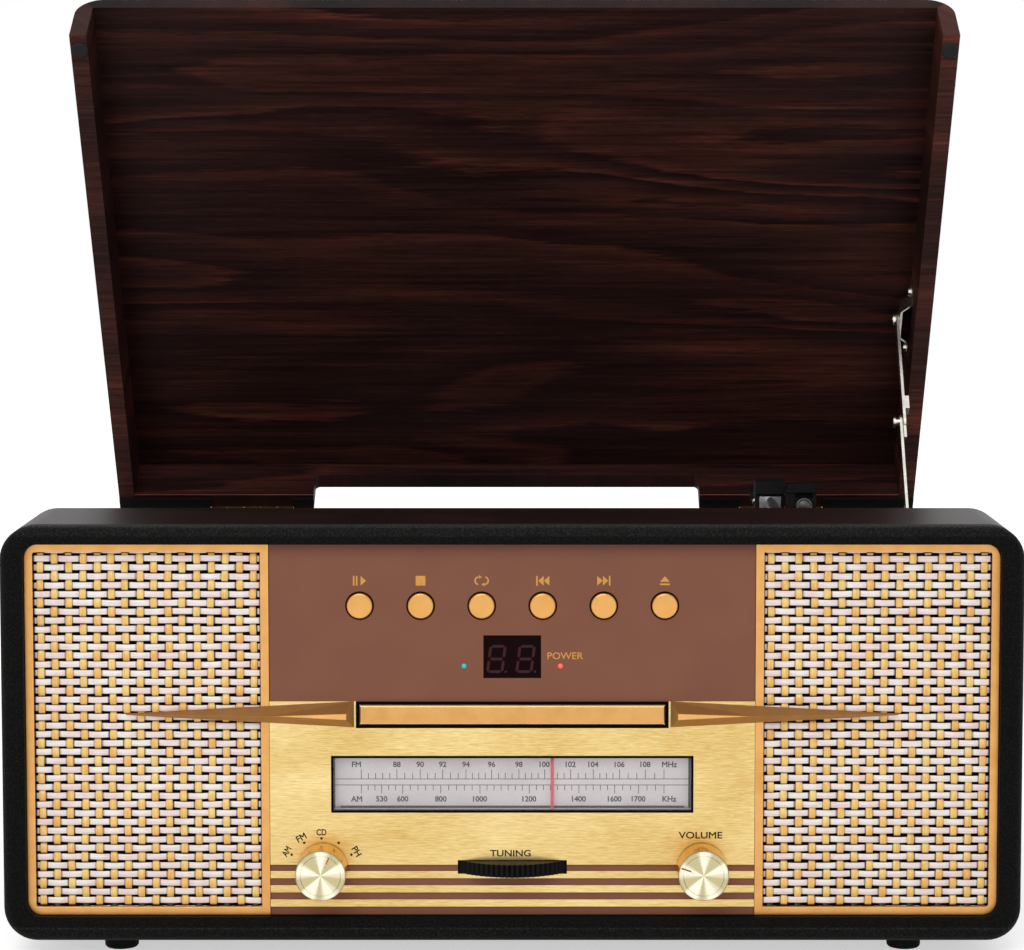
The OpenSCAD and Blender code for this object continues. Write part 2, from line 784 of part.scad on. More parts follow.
// Chassis of the disc player: floor with its motor, guide rails and top bridge with the clamp
module cd_mechanism() {
    side_x = 74;
    wall = 2;
    y0 = baffle_y + baffle_t;
    y1 = 160;
    z0 = 99;
    z1 = 126;
    color("#6d6f73") place() {
        difference() {
            box(-side_x, y0, z0, side_x, y1, z1);
            box(-side_x + wall, y0 - 1, z0 + wall, side_x - wall, y1 + 1, z1 - wall);
            translate([0, disc_y, z0 - 1]) cylinder(r = 9, h = 4);
            box(-14, disc_y + 10, z0 - 1, 14, disc_y + 60, z0 + wall + 1);
            box(-45, y0 + 90, z1 - wall - 1, 45, y1 + 1, z1 + 1);
            box(-60, y0 + 14, z1 - wall - 1, -24, y0 + 78, z1 + 1);
            box(24, y0 + 14, z1 - wall - 1, 60, y0 + 78, z1 + 1);
        }
        for (s = [-1, 1]) {
            box(s * 72 - 1, y0 + 2, tray_z0 - 2.4, s * 72 + 1, y1, tray_z0 - 0.2);
            box(s * 71.2 - 1.8, y0 + 2, tray_z0 + 2.2, s * 71.2 + 1.8, y1, tray_z0 + 3.8);
            box(s * 93 - 19.5, y0, z0 - 3, s * 93 + 19.5, y0 + 2, z1 + 4);
        }
        translate([0, disc_y, z1 - wall - 2.4]) cylinder(r = 14, h = 2.5);
        difference() {
            translate([0, disc_y, z0 - 12]) cylinder(r = 12, h = 12);
            translate([0, disc_y, z0 - 8]) cylinder(r = 1.06, h = 20);
        }
    }
}

// Turning hub that centres and drives the disc
module cd_hub() {
    color("#b9bcc0") place() translate([0, disc_y, 0]) {
        rotate_extrude() polygon([
            [0, 92], [1, 92], [1, 104], [8, 104], [8, 107], [13, 107], [13, 108.4], [7.4, 108.4],
            [7.4, 115.6], [6.4, 117.4], [3, 118.2], [0, 118.2]
        ]);
    }
}

// Full-range speakers: pressed basket and magnet, one behind each grille
module speaker_units() {
    y = baffle_y + baffle_t;
    color("#2a2b2e") place() for (s = [-1, 1]) difference() {
        turned_along_y(s * speaker_x, speaker_z) polygon([
            [speaker_hole_r - 1, y], [53, y], [53, y + 2], [47, y + 2], [44, y + 8], [30, y + 26],
            [30, y + 28], [34, y + 28], [34, y + 42], [0, y + 42], [0, y + 36], [10, y + 36],
            [10, y + 28], [28, y + 24], [42, y + 7], [44, y + 1.6], [speaker_hole_r - 1, y + 1.6]
        ]);
        for (a = [0 : 90 : 270]) translate([s * speaker_x, 0, speaker_z]) rotate([0, a + 45, 0])
            translate([49.4, y - 1, 0]) rotate([-90, 0, 0]) cylinder(r = 1.8, h = 5);
        for (a = [0 : 60 : 300]) translate([s * speaker_x, 0, speaker_z]) rotate([0, a, 0])
            box(30, y + 9, -8, 50, y + 21, 8);
    }
}

// Paper cones with their rolled surrounds and dust caps
module speaker_cones() {
    y = baffle_y + baffle_t;
    color("#3a3a3c") place() for (s = [-1, 1]) turned_along_y(s * speaker_x, speaker_z) {
        difference() {
            union() {
                polygon([
                    [43.7, y], [43.7, y + 1.5], [37, y + 1.5], [12, y + 18], [9, y + 18], [9, y + 17],
                    [37, y]
                ]);
                translate([40.5, y + 0.4]) circle(2.6);
            }
            translate([40.5, y + 0.4]) circle(1.8);
            translate([30, y + 0.9]) square([15, 8 + eps]);
        }
        translate([36.6, y]) square([1.4, 1.5]);
        translate([43, y - 1]) square([1.7, 1]);
        translate([43, y - eps]) square([0.7, 1.5]);
        intersection() {
            translate([0, y + 26]) difference() {
                circle(16);
                circle(15);
            }
            translate([0, y + 8]) square([11.9, 8]);
        }
    }
}

// Mains transformer: laminated core, winding and its two feet
module power_transformer() {
    x = 160;
    y = 290;
    color("#8b6a3a") place() translate([x, y, floor_z]) {
        difference() {
            box(-30, -16, 4, 30, 16, 54);
            for (s = [-1, 1]) box(s * 15 - 5, -17, 14, s * 15 + 5, 17, 44);
        }
        box(-20.5, -25, 14.2, -9.8, 25, 43.8);
        box(9.8, -25, 14.2, 20.5, 25, 43.8);
        for (s = [-1, 1]) box(-20.5, s * 20.5 - 4.5, 14.2, 20.5, s * 20.5 + 4.5, 43.8);
        difference() {
            box(-42, -16, 0, 42, 16, 4);
            for (s = [-1, 1]) translate([s * 36, 0, -1]) cylinder(r = 2.2, h = 8);
        }
    }
}

// Hardboard back with its vents and the cut-outs of the sockets
module rear_panel() {
    vents = 9;
    z1 = rim_z - 30;
    color("#33261f") place() difference() {
        upright(rear_panel_y, rear_panel_t) intersection() {
            cavity_outline();
            translate([-inner_x, floor_z]) square([2 * inner_x, z1 - floor_z]);
        }
        for (i = [0 : vents - 1], r = [0, 1])
            upright(rear_panel_y - 1, rear_panel_t + 2)
                round_rect(-40 + i * 10 - 2, 88 + r * 22 - 8, -40 + i * 10 + 2, 88 + r * 22 + 8, 1.9);
        for (z = [jack_z - 9, jack_z + 9])
            translate([jack_x, cab_d - 10, z]) rotate([-90, 0, 0]) cylinder(r = 5, h = 20);
        translate([aux_x, cab_d - 10, jack_z]) rotate([-90, 0, 0]) cylinder(r = 4, h = 20);
        box(inlet_x - 12, cab_d - 10, inlet_z - 7, inlet_x + 12, cab_d + 1, inlet_z + 7);
        for (x = [-1, 0, 1], z = [floor_z + 4])
            translate([x * (inner_x - 20), cab_d - 10, z]) rotate([-90, 0, 0]) cylinder(r = 1.8, h = 20);
    }
}

// Line output and auxiliary sockets and the mains inlet
module rear_sockets() {
    back = rear_panel_y + rear_panel_t;
    color("#101010") place() {
        for (z = [jack_z - 9, jack_z + 9]) difference() {
            union() {
                translate([jack_x, back, z]) rotate([-90, 0, 0]) cylinder(r = 4.15, h = 8.5);
                translate([jack_x, rear_panel_y - 2, z]) rotate([-90, 0, 0]) cylinder(r = 4.15, h = 6);
                translate([jack_x, back, z]) rotate([-90, 0, 0]) cylinder(r = 6.4, h = 1.4);
            }
            translate([jack_x, back - 1, z]) rotate([-90, 0, 0]) cylinder(r = 1.6, h = 12);
        }
        box(jack_x - 8, rear_panel_y - 12, jack_z - 18, jack_x + 8, rear_panel_y - 1, jack_z + 18);
        difference() {
            union() {
                translate([aux_x, rear_panel_y - 2, jack_z]) rotate([-90, 0, 0]) cylinder(r = 3.9, h = 5);
                translate([aux_x, back, jack_z]) rotate([-90, 0, 0]) cylinder(r = 5.2, h = 1.2);
                box(aux_x - 6, rear_panel_y - 14, jack_z - 5, aux_x + 6, rear_panel_y, jack_z + 5);
            }
            translate([aux_x, back - 14, jack_z]) rotate([-90, 0, 0]) cylinder(r = 1.8, h = 20);
        }
        difference() {
            union() {
                box(inlet_x - 11.8, rear_panel_y - 14, inlet_z - 6.8, inlet_x + 11.8, back, inlet_z + 6.8);
                box(inlet_x - 15, back, inlet_z - 9, inlet_x + 15, back + 1.5, inlet_z + 9);
            }
            upright(back - 10, 20)
                round_rect(inlet_x - 8.4, inlet_z - 4, inlet_x + 8.4, inlet_z + 4, 3.9);
        }
        for (s = [-1, 1])
            translate([inlet_x + s * 4.3, back - 10.5, inlet_z])
                rotate([-90, 0, 0]) cylinder(r = 1.2, h = 9.5);
    }
}

// Four rubber feet
module feet() {
    color("#111111") place() for (s = [-1, 1], y = [26, cab_d - 26]) translate([s * foot_x, y, 0])
        rotate_extrude() difference() {
            polygon([[0, 0], [7.4, 0], [8, 0.8], [8.5, foot_h], [0, foot_h]]);
            translate([-1, -1]) square([3.2, 3]);
        }
}

// Moulded deck plate with the platter's bearing boss
module deck_plate() {
    color("#0f0f10") place() difference() {
        union() {
            box(-inner_x, top_d, deck_top_z - deck_t, inner_x, cab_d - board_t, deck_top_z);
            translate([spindle_x, spindle_y, deck_top_z - 24]) cylinder(r = 11, h = 25);
            translate([spindle_x, spindle_y, deck_top_z - 4]) cylinder(r = 20, h = 5);
            for (s = [-1, 1], y = [top_d + 16, cab_d - board_t - 16])
                translate([s * (inner_x - 16), y, deck_top_z - eps]) cylinder(r = 5, h = 1.2);
            translate([speed_pos[0], speed_pos[1], 0])
                linear_extrude(deck_top_z + 1) round_rect_centred(34, 60, 4);
        }
        translate([speed_pos[0], speed_pos[1], -1])
            linear_extrude(deck_top_z - deck_t + 1) round_rect_centred(40, 70, 4);
        translate([spindle_x, spindle_y, deck_top_z - 22]) cylinder(r = bearing_r + bearing_fit, h = 40);
        translate([pulley_pos[0], pulley_pos[1], 0]) cylinder(r = 9, h = deck_top_z + 2);
        translate([arm_x, arm_y, 0]) cylinder(r = 9, h = deck_top_z + 2);
        box(speed_pos[0] - 3, speed_pos[1] - speed_travel / 2 - 5, 0,
            speed_pos[0] + 3, speed_pos[1] + speed_travel / 2 + 5, deck_top_z + 4);
        box(inner_x - 3, stay_base[0] - 15, deck_top_z - 9, inner_x + 1, stay_base[0] + 15, deck_top_z + 1);
    }
}

module round_rect_centred(w, d, r) {
    round_rect(-w / 2, -d / 2, w / 2, d / 2, r);
}

// Motor under the deck with its flange
module platter_motor() {
    under = deck_top_z - deck_t;
    can_r = 15;
    can_h = 28;
    nose_r = 5;
    color("#9a9ca0") place() translate([pulley_pos[0], pulley_pos[1], 0]) difference() {
        union() {
            translate([0, 0, under - 2]) linear_extrude(2) {
                circle(can_r + 2);
                square([48, 12], center = true);
            }
            translate([0, 0, under - 2 - can_h]) cylinder(r = can_r, h = can_h + eps);
            translate([0, 0, under - 5 - can_h]) cylinder(r = nose_r, h = 4);
            translate([0, 0, under - eps]) cylinder(r = nose_r, h = 1.5);
        }
        translate([0, 0, deck_top_z - 20]) cylinder(r = 1.05, h = 30);
        for (s = [-1, 1]) translate([s * 20.5, 0, 0]) cylinder(r = 1.6, h = deck_top_z);
    }
}

// Pulley with its crowned belt seat and the motor's shaft
module motor_pulley() {
    z0 = belt_z - 1.4;
    z1 = belt_z + belt_h + 1.4;
    color("#c8b060") place() translate([pulley_pos[0], pulley_pos[1], 0]) rotate_extrude() polygon([
        [0, deck_top_z - 18], [1, deck_top_z - 18], [1, z0], [pulley_r + 1.2, z0],
        [pulley_r + 1.2, belt_z - 0.6], [pulley_r, belt_z - 0.3], [pulley_r, belt_z + belt_h + 0.3],
        [pulley_r + 1.2, belt_z + belt_h + 0.6], [pulley_r + 1.2, z1], [0, z1]
    ]);
}

// Outline of a belt round the platter's ring and the pulley, grown by g
module belt_outline(g) {
    dip = 0.03;
    r1 = belt_ring_r + g;
    r2 = pulley_r + g;
    a = acos((r1 - r2) / pulley_dist);
    circle(r1);
    translate([pulley_dist, 0]) circle(r2);
    polygon([
        (r1 - dip) * [cos(a), sin(a)], [0, 0], (r1 - dip) * [cos(a), -sin(a)],
        [pulley_dist, 0] + (r2 - dip) * [cos(a), -sin(a)], [pulley_dist, 0] + (r2 - dip) * [cos(a), sin(a)]
    ]);
}

// Flat rubber belt
module drive_belt() {
    color("#202020") place() translate([spindle_x, spindle_y, belt_z]) rotate(pulley_angle)
        linear_extrude(belt_h) difference() {
            belt_outline(belt_gap + belt_t);
            belt_outline(belt_gap);
        }
}

// Cast platter with its belt ring, its bearing shaft and the record spindle
module platter() {
    rim_z0 = deck_top_z + 2.5;
    hub_top = mat_top_z - 0.1;
    color("#b4b6b9") place() translate([spindle_x, spindle_y, 0]) rotate_extrude() polygon([
        [0, deck_top_z - 20], [bearing_r, deck_top_z - 20], [bearing_r, deck_top_z + 1.4],
        [16, deck_top_z + 1.4], [16, platter_top_z - 5], [24, platter_top_z - 3.2],
        [belt_ring_r - 3, platter_top_z - 3.2], [belt_ring_r - 3, rim_z0], [belt_ring_r, rim_z0],
        [belt_ring_r, platter_top_z - 3.2], [platter_r - 5, platter_top_z - 3.2], [platter_r - 4, rim_z0],
        [platter_r - 1, rim_z0], [platter_r, rim_z0 + 1], [platter_r, platter_top_z - 1],
        [platter_r - 1, platter_top_z], [mat_hub_r, platter_top_z], [mat_hub_r, hub_top],
        [spindle_r, hub_top], [spindle_r, spindle_top_z - 2],
        [spindle_r - 1, spindle_top_z - 0.6], [spindle_r - 2.4, spindle_top_z], [0, spindle_top_z]
    ]);
}

// Ribbed rubber mat
module platter_mat() {
    rings = 9;
    first_r = 50;
    ring_pitch = 9.5;
    r = platter_r - 4;
    color("#151515") place() translate([spindle_x, spindle_y, platter_top_z]) difference() {
        cylinder(r = r, h = mat_t);
        translate([0, 0, -1]) cylinder(r = mat_hub_r + 0.3, h = mat_t + 2);
        for (i = [0 : rings - 1]) translate([0, 0, mat_t - 0.6]) difference() {
            cylinder(r = first_r + i * ring_pitch + 3, h = 1);
            translate([0, 0, -1]) cylinder(r = first_r + i * ring_pitch, h = 3);
        }
    }
}

// Pedestal of the tone arm, and beside it the arm lift's tower with the seat of its lever
module tonearm_base() {
    flange_r = 14;
    neck_r = 8.6;
    bush_r = 4.05;
    color("#121212") place() {
        difference() {
            union() {
                translate([arm_x, arm_y, deck_top_z]) cylinder(r = flange_r, h = 4);
                translate([arm_x, arm_y, deck_top_z + 4 - eps])
                    cylinder(r1 = flange_r - 1, r2 = flange_r - 2, h = base_top_z - deck_top_z - 4);
                translate([arm_x, arm_y, deck_top_z - deck_t - 12]) cylinder(r = neck_r, h = deck_t + 13);
            }
            translate([arm_x, arm_y, deck_top_z - deck_t - 13]) cylinder(r = bush_r, h = 60);
        }
        lift_seat();
    }
}

// Seat of the lift's lever, with the slot that the lever runs out of and the bore of its axle
module lift_seat() {
    seat_h = 10;
    seat_x0 = 166;
    front = lift_y - 12;
    back = arm_y + 10;
    seat_half = 9;
    slot_half = 3.2;
    slot_back = 11;
    difference() {
        union() {
            box(lift_x0, front, deck_top_z, cue_pos[0] + seat_half, lift_y + lift_d, deck_top_z + seat_h);
            box(seat_x0, front, deck_top_z, cue_pos[0] + seat_half, back, deck_top_z + seat_h);
            lift_tower();
        }
        box(cue_pos[0] - slot_half, front - 1, deck_top_z + 2,
            cue_pos[0] + slot_half, cue_pos[1] + slot_back, deck_top_z + 20);
        translate([cue_pos[0], cue_pos[1], cue_z]) rotate([0, 90, 0])
            cylinder(r = cue_axle_r + 0.06, h = 14, center = true);
    }
}

// Tower of the arm lift: a stepped cap, a recess in its front and the damper's round end
module lift_tower() {
    cap_h = 3.4;
    ledge_h = 1.6;
    recess = [159.5, 169.5, 184.5, 187.6];
    damper_r = 4.3;
    damper = [164.8, 180];
    difference() {
        union() {
            box(lift_x0, lift_y, deck_top_z, lift_x1, lift_y + lift_d, lift_top - cap_h);
            box(lift_x0 - 1.1, lift_y - 1, lift_top - cap_h - ledge_h,
                lift_x1 + 1, lift_y + lift_d + 1, lift_top - cap_h + eps);
            box(lift_x0, lift_y, lift_top - cap_h, lift_x1 - 0.7, lift_y + lift_d, lift_top);
        }
        box(recess[0], lift_y - 2, recess[2], recess[1], lift_y + 4, recess[3]);
    }
    translate([damper[0], lift_y - 3, damper[1]]) rotate([-90, 0, 0]) cylinder(r = damper_r, h = 3 + eps);
}

// Post with the rest for the parked arm: a shelf with a wall on its outer side
module tonearm_rest() {
    half_w = 6;
    half_d = 3.5;
    fit = 0.3;
    shelf_z = arm_axis_z - arm_tube_r - fit;
    foot_z = deck_top_z + 2;
    color("#121212") place() translate([arm_x, rest_y, 0]) difference() {
        union() {
            translate([0, 0, deck_top_z]) cylinder(r = 7, h = 2.5);
            translate([0, 0, foot_z]) cylinder(r1 = 4.5, r2 = 3.6, h = shelf_z - 3 - foot_z);
            box(-half_w, -half_d, shelf_z - 4, half_w, half_d, arm_axis_z + 2.4);
        }
        box(-half_w - 1, -half_d - 1, shelf_z, arm_tube_r + fit, half_d + 1, arm_axis_z + 10);
    }
}

// Lever that raises and lowers the arm
module cue_lever() {
    rise = 14;
    reach = 34;
    hub_r = 3.6;
    hub_w = 5.6;
    half_t = 1.5;
    tip_r = 3.4;
    color("#202022") place() translate([cue_pos[0], cue_pos[1], cue_z]) {
        rotate([0, 90, 0]) cylinder(r = cue_axle_r, h = 12, center = true);
        rotate([0, 90, 0]) cylinder(r = hub_r, h = hub_w, center = true);
        rotate([-rise, 0, 0]) {
            box(-half_t, -reach, -half_t, half_t, 0, half_t);
            translate([0, -reach, 0]) rotate([0, 90, 0]) cylinder(r = tip_r, h = 5, center = true);
        }
    }
}

// Turning yoke with the cheeks of the arm's cross pivot and the cover over them
module tonearm_yoke() {
    cheek_in = 6.6;
    cheek_out = 8.4;
    half_d = 6;
    cover_half_d = 8;
    cover_z0 = 184.8;
    cover_z1 = 192;
    disc_r = 13;
    disc_z = base_top_z + 0.4;
    shaft_low = deck_top_z - deck_t - 6;
    color("#1a1a1b") place() translate([arm_x, arm_y, 0]) {
        translate([0, 0, shaft_low]) cylinder(r = 4, h = disc_z + 1 - shaft_low);
        translate([0, 0, disc_z]) cylinder(r = disc_r, h = 2);
        for (s = [-1, 1]) difference() {
            box(min(s * cheek_in, s * cheek_out), -half_d, disc_z + 1,
                max(s * cheek_in, s * cheek_out), half_d, cover_z0 + 1);
            translate([s * (cheek_in + cheek_out) / 2, 0, arm_axis_z])
                rotate([0, 90, 0]) cylinder(r = cross_pin_r + 0.06, h = 4, center = true);
        }
        box(-cheek_out, -cover_half_d, cover_z0, cheek_out, cover_half_d, cover_z1);
    }
}

// Tone arm: tube, pivot block, headshell and counterweight
module tonearm() {
    y_head = -arm_len + head_len - 14;
    block_half = 6.2;
    weight_y = 19;
    color("#c9cacc") place() translate([arm_x, arm_y, arm_axis_z]) {
        box(-block_half, -9, -4, block_half, 9, 3.4);
        rotate([0, 90, 0]) cylinder(r = cross_pin_r, h = 16.4, center = true);
        translate([0, y_head, 0]) rotate([-90, 0, 0]) cylinder(r = arm_tube_r, h = -y_head);
        rotate([-90, 0, 0]) cylinder(r = arm_tube_r, h = weight_y + 1);
        translate([0, weight_y, 0]) turned_weight();
        difference() {
            hull() {
                box(-4.4, y_head - 2, -2.6, 4.4, y_head + 4, 4);
                box(-8.5, y_head - head_len + 6, -2.6, 8.5, y_head - head_len + 10, 1);
            }
            box(-6.8, y_head - head_len, -4, 6.8, y_head - 8, -1);
        }
        box(8.4, y_head - head_len + 8, -1.2, 13, y_head - head_len + 13, 0.2);
        box(11.4, y_head - head_len - 2, -1.2, 13, y_head - head_len + 13, 0.2);
    }
}

// Counterweight with a groove round it, turned along the arm
module turned_weight() {
    r = 8.6;
    rotate([-90, 0, 0]) rotate_extrude() polygon([
        [0, 0], [r - 1, 0], [r, 1], [r, 3], [r - 0.6, 3.6], [r - 0.6, 4.4], [r, 5],
        [r, 17], [r - 1, 18], [0, 18]
    ]);
}

// Cartridge with its stylus
module cartridge() {
    color("#b03a2e") place() translate([arm_x, arm_y - arm_len, arm_axis_z]) {
        box(-6.6, -6, -6.2, 6.6, 14, -1);
        box(-4, -8, -7.4, 4, 6, -6);
        translate([0, 0, -8.2]) cylinder(r1 = 0.2, r2 = 0.6, h = 1.4);
    }
}

// Sliding speed selector
module speed_lever() {
    color("#c9cacc") place() translate([speed_pos[0], speed_pos[1] - speed_travel / 2, 0]) {
        box(-2.7, -4, deck_top_z - deck_t - 3, 2.7, 4, deck_top_z + 3);
        box(-5, -5.5, deck_top_z - deck_t - 3, 5, 5.5, deck_top_z - deck_t - 0.3);
        upright(-4, 8) {
            translate([-5, deck_top_z + 1.3]) square([10, 3.7]);
            translate([0, deck_top_z + 5]) circle(4);
        }
    }
}

// Cross-section of the closed lid in width and height, without its rear wall
module lid_outline() {
    intersection() {
        cabinet_outline();
        translate([-half_w, lid_rim_z]) square([cab_w, lid_h]);
    }
}

// Region above the mitre lines of the lid's corners
module mitre_region() {
    x = half_w - lid_wall;
    z = top_z - lid_panel_t;
    far = 20;
    polygon([[-x, z], [x, z], [x + far, z + far], [-x - far, z + far]]);
}

module lid_panel() {
    color("#3a1d17") on_lid() upright(cab_d - lid_len, lid_len) intersection() {
        lid_outline();
        mitre_region();
    }
}

module lid_side_walls() {
    x = half_w - lid_wall;
    color("#31181a") on_lid() for (s = [0, 1]) mirror([s, 0, 0])
        upright(cab_d - lid_len, lid_len) difference() {
            intersection() {
                lid_outline();
                translate([x, lid_rim_z]) square([2 * lid_wall, lid_h]);
            }
            mitre_region();
        }
}

module lid_rear_wall() {
    x = half_w - lid_wall;
    r = 3;
    x0 = notch_x - notch_w / 2;
    x1 = notch_x + notch_w / 2;
    z1 = lid_rim_z + notch_h;
    color("#31181a") on_lid() upright(cab_d - lid_wall, lid_wall) difference() {
        translate([-x, lid_rim_z]) square([2 * x, lid_h - lid_panel_t]);
        translate([x0, lid_rim_z - 1]) square([notch_w, notch_h + 1 - r]);
        translate([x0 + r, lid_rim_z - 1]) square([notch_w - 2 * r, notch_h + 1]);
        for (c = [x0 + r, x1 - r]) translate([c, z1 - r]) circle(r);
    }
}

// Rubber bumpers under the front ends of the lid's rim
module lid_bumpers() {
    r = 4.6;
    color("#0d0d0d") on_lid() for (s = [-1, 1])
        translate([s * 235.2, cab_d - lid_len + 9.3, lid_rim_z - rim_gap + 0.1]) rotate_extrude()
            polygon([[0, 0], [r - 0.7, 0], [r, 0.7], [r, rim_gap - 0.1], [0, rim_gap - 0.1]]);
}

// Leaf of a hinge with the knuckles of one parity, below or above the hinge line
module hinge_leaf(parity, up, with_pin) {
    pitch = hinge_len / knuckles;
    for (s = [-1, 1]) translate([s * hinge_x - hinge_len / 2, 0, 0]) {
        difference() {
            translate([0, cab_d, hinge_z + (up ? 0 : -leaf_h)]) cube([hinge_len, leaf_t, leaf_h]);
            translate([-1, hinge_y, hinge_z])
                rotate([0, 90, 0]) cylinder(r = knuckle_r + 0.3, h = hinge_len + 2);
            for (x = [8, hinge_len / 2, hinge_len - 8])
                translate([x, cab_d - 1, hinge_z + (up ? 1 : -1) * (leaf_h - 7)])
                    rotate([-90, 0, 0]) cylinder(r = 1.9, h = 4);
        }
        for (i = [parity : 2 : knuckles - 1]) translate([i * pitch + 0.1, 0, 0]) difference() {
            union() {
                translate([0, hinge_y, hinge_z]) rotate([0, 90, 0]) cylinder(r = knuckle_r, h = pitch - 0.2);
                translate([0, cab_d, hinge_z + (up ? 0.4 : -3.4)]) cube([pitch - 0.2, leaf_t, 3]);
            }
            if (!with_pin) translate([-1, hinge_y, hinge_z])
                rotate([0, 90, 0]) cylinder(r = pin_r + 0.05, h = pitch + 2);
        }
        if (with_pin) translate([0.1, hinge_y, hinge_z])
            rotate([0, 90, 0]) cylinder(r = pin_r, h = hinge_len - 0.2);
    }
}

module hinge_base_leaves() {
    color("#b59a5a") place() hinge_leaf(0, false, true);
}

module hinge_lid_leaves() {
    color("#b59a5a") on_lid() hinge_leaf(1, true, false);
}

// Hat-shaped bracket on the lid's right wall with the pin of the upper arm
module stay_lid_bracket() {
    wall_x = half_w - lid_wall;
    face_x = stay_upper_x + stay_arm_t + 0.3;
    t = stay_plate_t;
    p = stay_lid_closed;
    half_h = 5.5;
    run = 9;
    foot = run + 5;
    end = foot + 12;
    screw = (foot + end) / 2;
    color("#b8b4ac") on_lid() translate([0, p[0], p[1]]) {
        difference() {
            translate([0, 0, -half_h]) linear_extrude(2 * half_h) polygon([
                [wall_x, -end], [wall_x, -foot], [face_x + t, -run], [face_x + t, run],
                [wall_x, foot], [wall_x, end], [wall_x - t, end], [wall_x - t, foot],
                [face_x, run], [face_x, -run], [wall_x - t, -foot], [wall_x - t, -end]
            ]);
            for (s = [-1, 1])
                translate([wall_x - 4, s * screw, 0]) rotate([0, 90, 0]) cylinder(r = 2, h = 6);
        }
        for (s = [-1, 1])
            translate([wall_x - t - 1.6, s * screw, 0])
                rotate([0, 90, 0]) cylinder(r1 = 2.4, r2 = 3.6, h = 1.6);
        translate([stay_upper_x - 1.8, 0, 0]) rotate([0, 90, 0]) cylinder(r = stay_pin_r, h = 4.2);
        translate([stay_upper_x - 1.7, 0, 0]) rotate([0, 90, 0]) cylinder(r = 3.6, h = 1.5);
    }
}

// Flat link between two points of the arms' plane, with a hole at its first point
module stay_link(a, b) {
    angle = heading(a, b);
    len = norm(b - a);
    translate([a[0], a[1]]) rotate(angle) difference() {
        union() {
            translate([0, -stay_arm_w / 2]) square([len, stay_arm_w]);
            circle(stay_arm_w / 2);
            translate([len, 0]) circle(stay_arm_w / 2);
        }
        circle(stay_pin_r + stay_fit);
    }
}

// Upper arm with the folded collar that stops the knee when the lid is open
module stay_upper_arm() {
    a = stay_lid_open;
    b = stay_mid_open;
    x1 = stay_upper_x + stay_arm_t;
    half = stay_arm_w / 2;
    collar = [-15, -7];
    collar_t = 2.4;
    stop = [0, 11];
    stop_half = 2.2;
    color("#aaa69e") place() {
        sideways(stay_upper_x, stay_arm_t) stay_link(a, b);
        translate([0, b[0], b[1]]) rotate([heading(a, b), 0, 0]) {
            box(x1 - eps, collar[0], -half, x1 + collar_t, collar[1], half);
            box(stay_upper_x, stop[0], -stop_half, x1, stop[1], stop_half);
        }
    }
}

// Lower arm with the head of the knee's rivet
module stay_lower_arm() {
    a = stay_base;
    b = stay_mid_open;
    color("#d0ccc2") place() {
        sideways(stay_lower_x, stay_arm_t) stay_link(a, b);
        translate([stay_lower_x - 2.4, b[0], b[1]]) rotate([0, 90, 0]) cylinder(r = 2.2, h = 2.4 + eps);
        translate([stay_lower_x - 3.4, b[0], b[1]]) rotate([0, 90, 0]) cylinder(r = 3.2, h = 1.2);
    }
}

// Bracket on the cabinet's right wall with the pin of the lower arm
module stay_base_bracket() {
    q = stay_base;
    face_x = stay_lower_x + stay_arm_t + 0.3;
    t = stay_plate_t;
    low = deck_top_z + 0.4;
    color("#b8b4ac") place() {
        difference() {
            box(inner_x - t, q[0] - 13, low, inner_x, q[0] + 13, rim_z - 1);
            for (s = [-1, 1])
                translate([inner_x - 4, q[0] + s * 8, low + 4]) rotate([0, 90, 0]) cylinder(r = 1.7, h = 8);
        }
        box(face_x, q[0] - 6, rim_z - 2.2, inner_x, q[0] + 6, rim_z - 1);
        sideways(face_x, t) {
            translate([q[0] - 6, rim_z - 2.2]) square([12, q[1] - rim_z + 2.2]);
            translate(q) circle(6);
        }
        translate([stay_lower_x - 1.6, q[0], q[1]]) rotate([0, 90, 0]) cylinder(r = stay_pin_r, h = 4);
        translate([stay_lower_x - 1.7, q[0], q[1]]) rotate([0, 90, 0]) cylinder(r = 3.6, h = 1.5);
    }
}

cabinet_shell();
front_frame();
fascia_panel();
gold_plate();
speaker_baffle();
mirror([1, 0, 0]) grille_frame();  // left_grille_frame
grille_frame();  // right_grille_frame
mirror([1, 0, 0]) grille_cloth();  // left_grille_cloth
grille_cloth();  // right_grille_cloth
mirror([1, 0, 0]) wing();  // left_wing
wing();  // right_wing
fascia_bezels();
display_window();
dial_window();
dial_plate();
dial_pointer();
tuning_wheel();
circuit_boards();
knob(-knob_x, 29);  // selector_knob
knob(knob_x, -70);  // volume_knob
knob_controls();
button(0);  // play_button
button(1);  // stop_button
button(2);  // repeat_button
button(3);  // previous_button
button(4);  // next_button
button(5);  // eject_button
cd_door();
cd_tray();
cd_mechanism();
cd_hub();
speaker_units();
speaker_cones();
power_transformer();
rear_panel();
rear_sockets();
feet();
deck_plate();
platter_motor();
motor_pulley();
drive_belt();
platter();
platter_mat();
tonearm_base();
tonearm_rest();
cue_lever();
tonearm_yoke();
tonearm();
cartridge();
speed_lever();
lid_panel();
lid_side_walls();
lid_rear_wall();
lid_bumpers();
hinge_base_leaves();
hinge_lid_leaves();
stay_lid_bracket();
stay_upper_arm();
stay_lower_arm();
stay_base_bracket();
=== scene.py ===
"""Looks of a stereo music centre: a record deck, a disc drawer and a radio in one wooden cabinet.

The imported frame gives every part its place. This script finishes the parts and adds what is
too fine for the frame: the woven grilles, the printed dial, the lettering, lamps and screws.
Lengths in the classes are millimetres, and the meshes are metres in the frame's own axes.
"""

import json
import logging
import math
from collections.abc import Iterable, Sequence
from dataclasses import dataclass, field
from enum import Enum
from typing import ClassVar

import bmesh
import bpy
from mathutils import Matrix, Vector

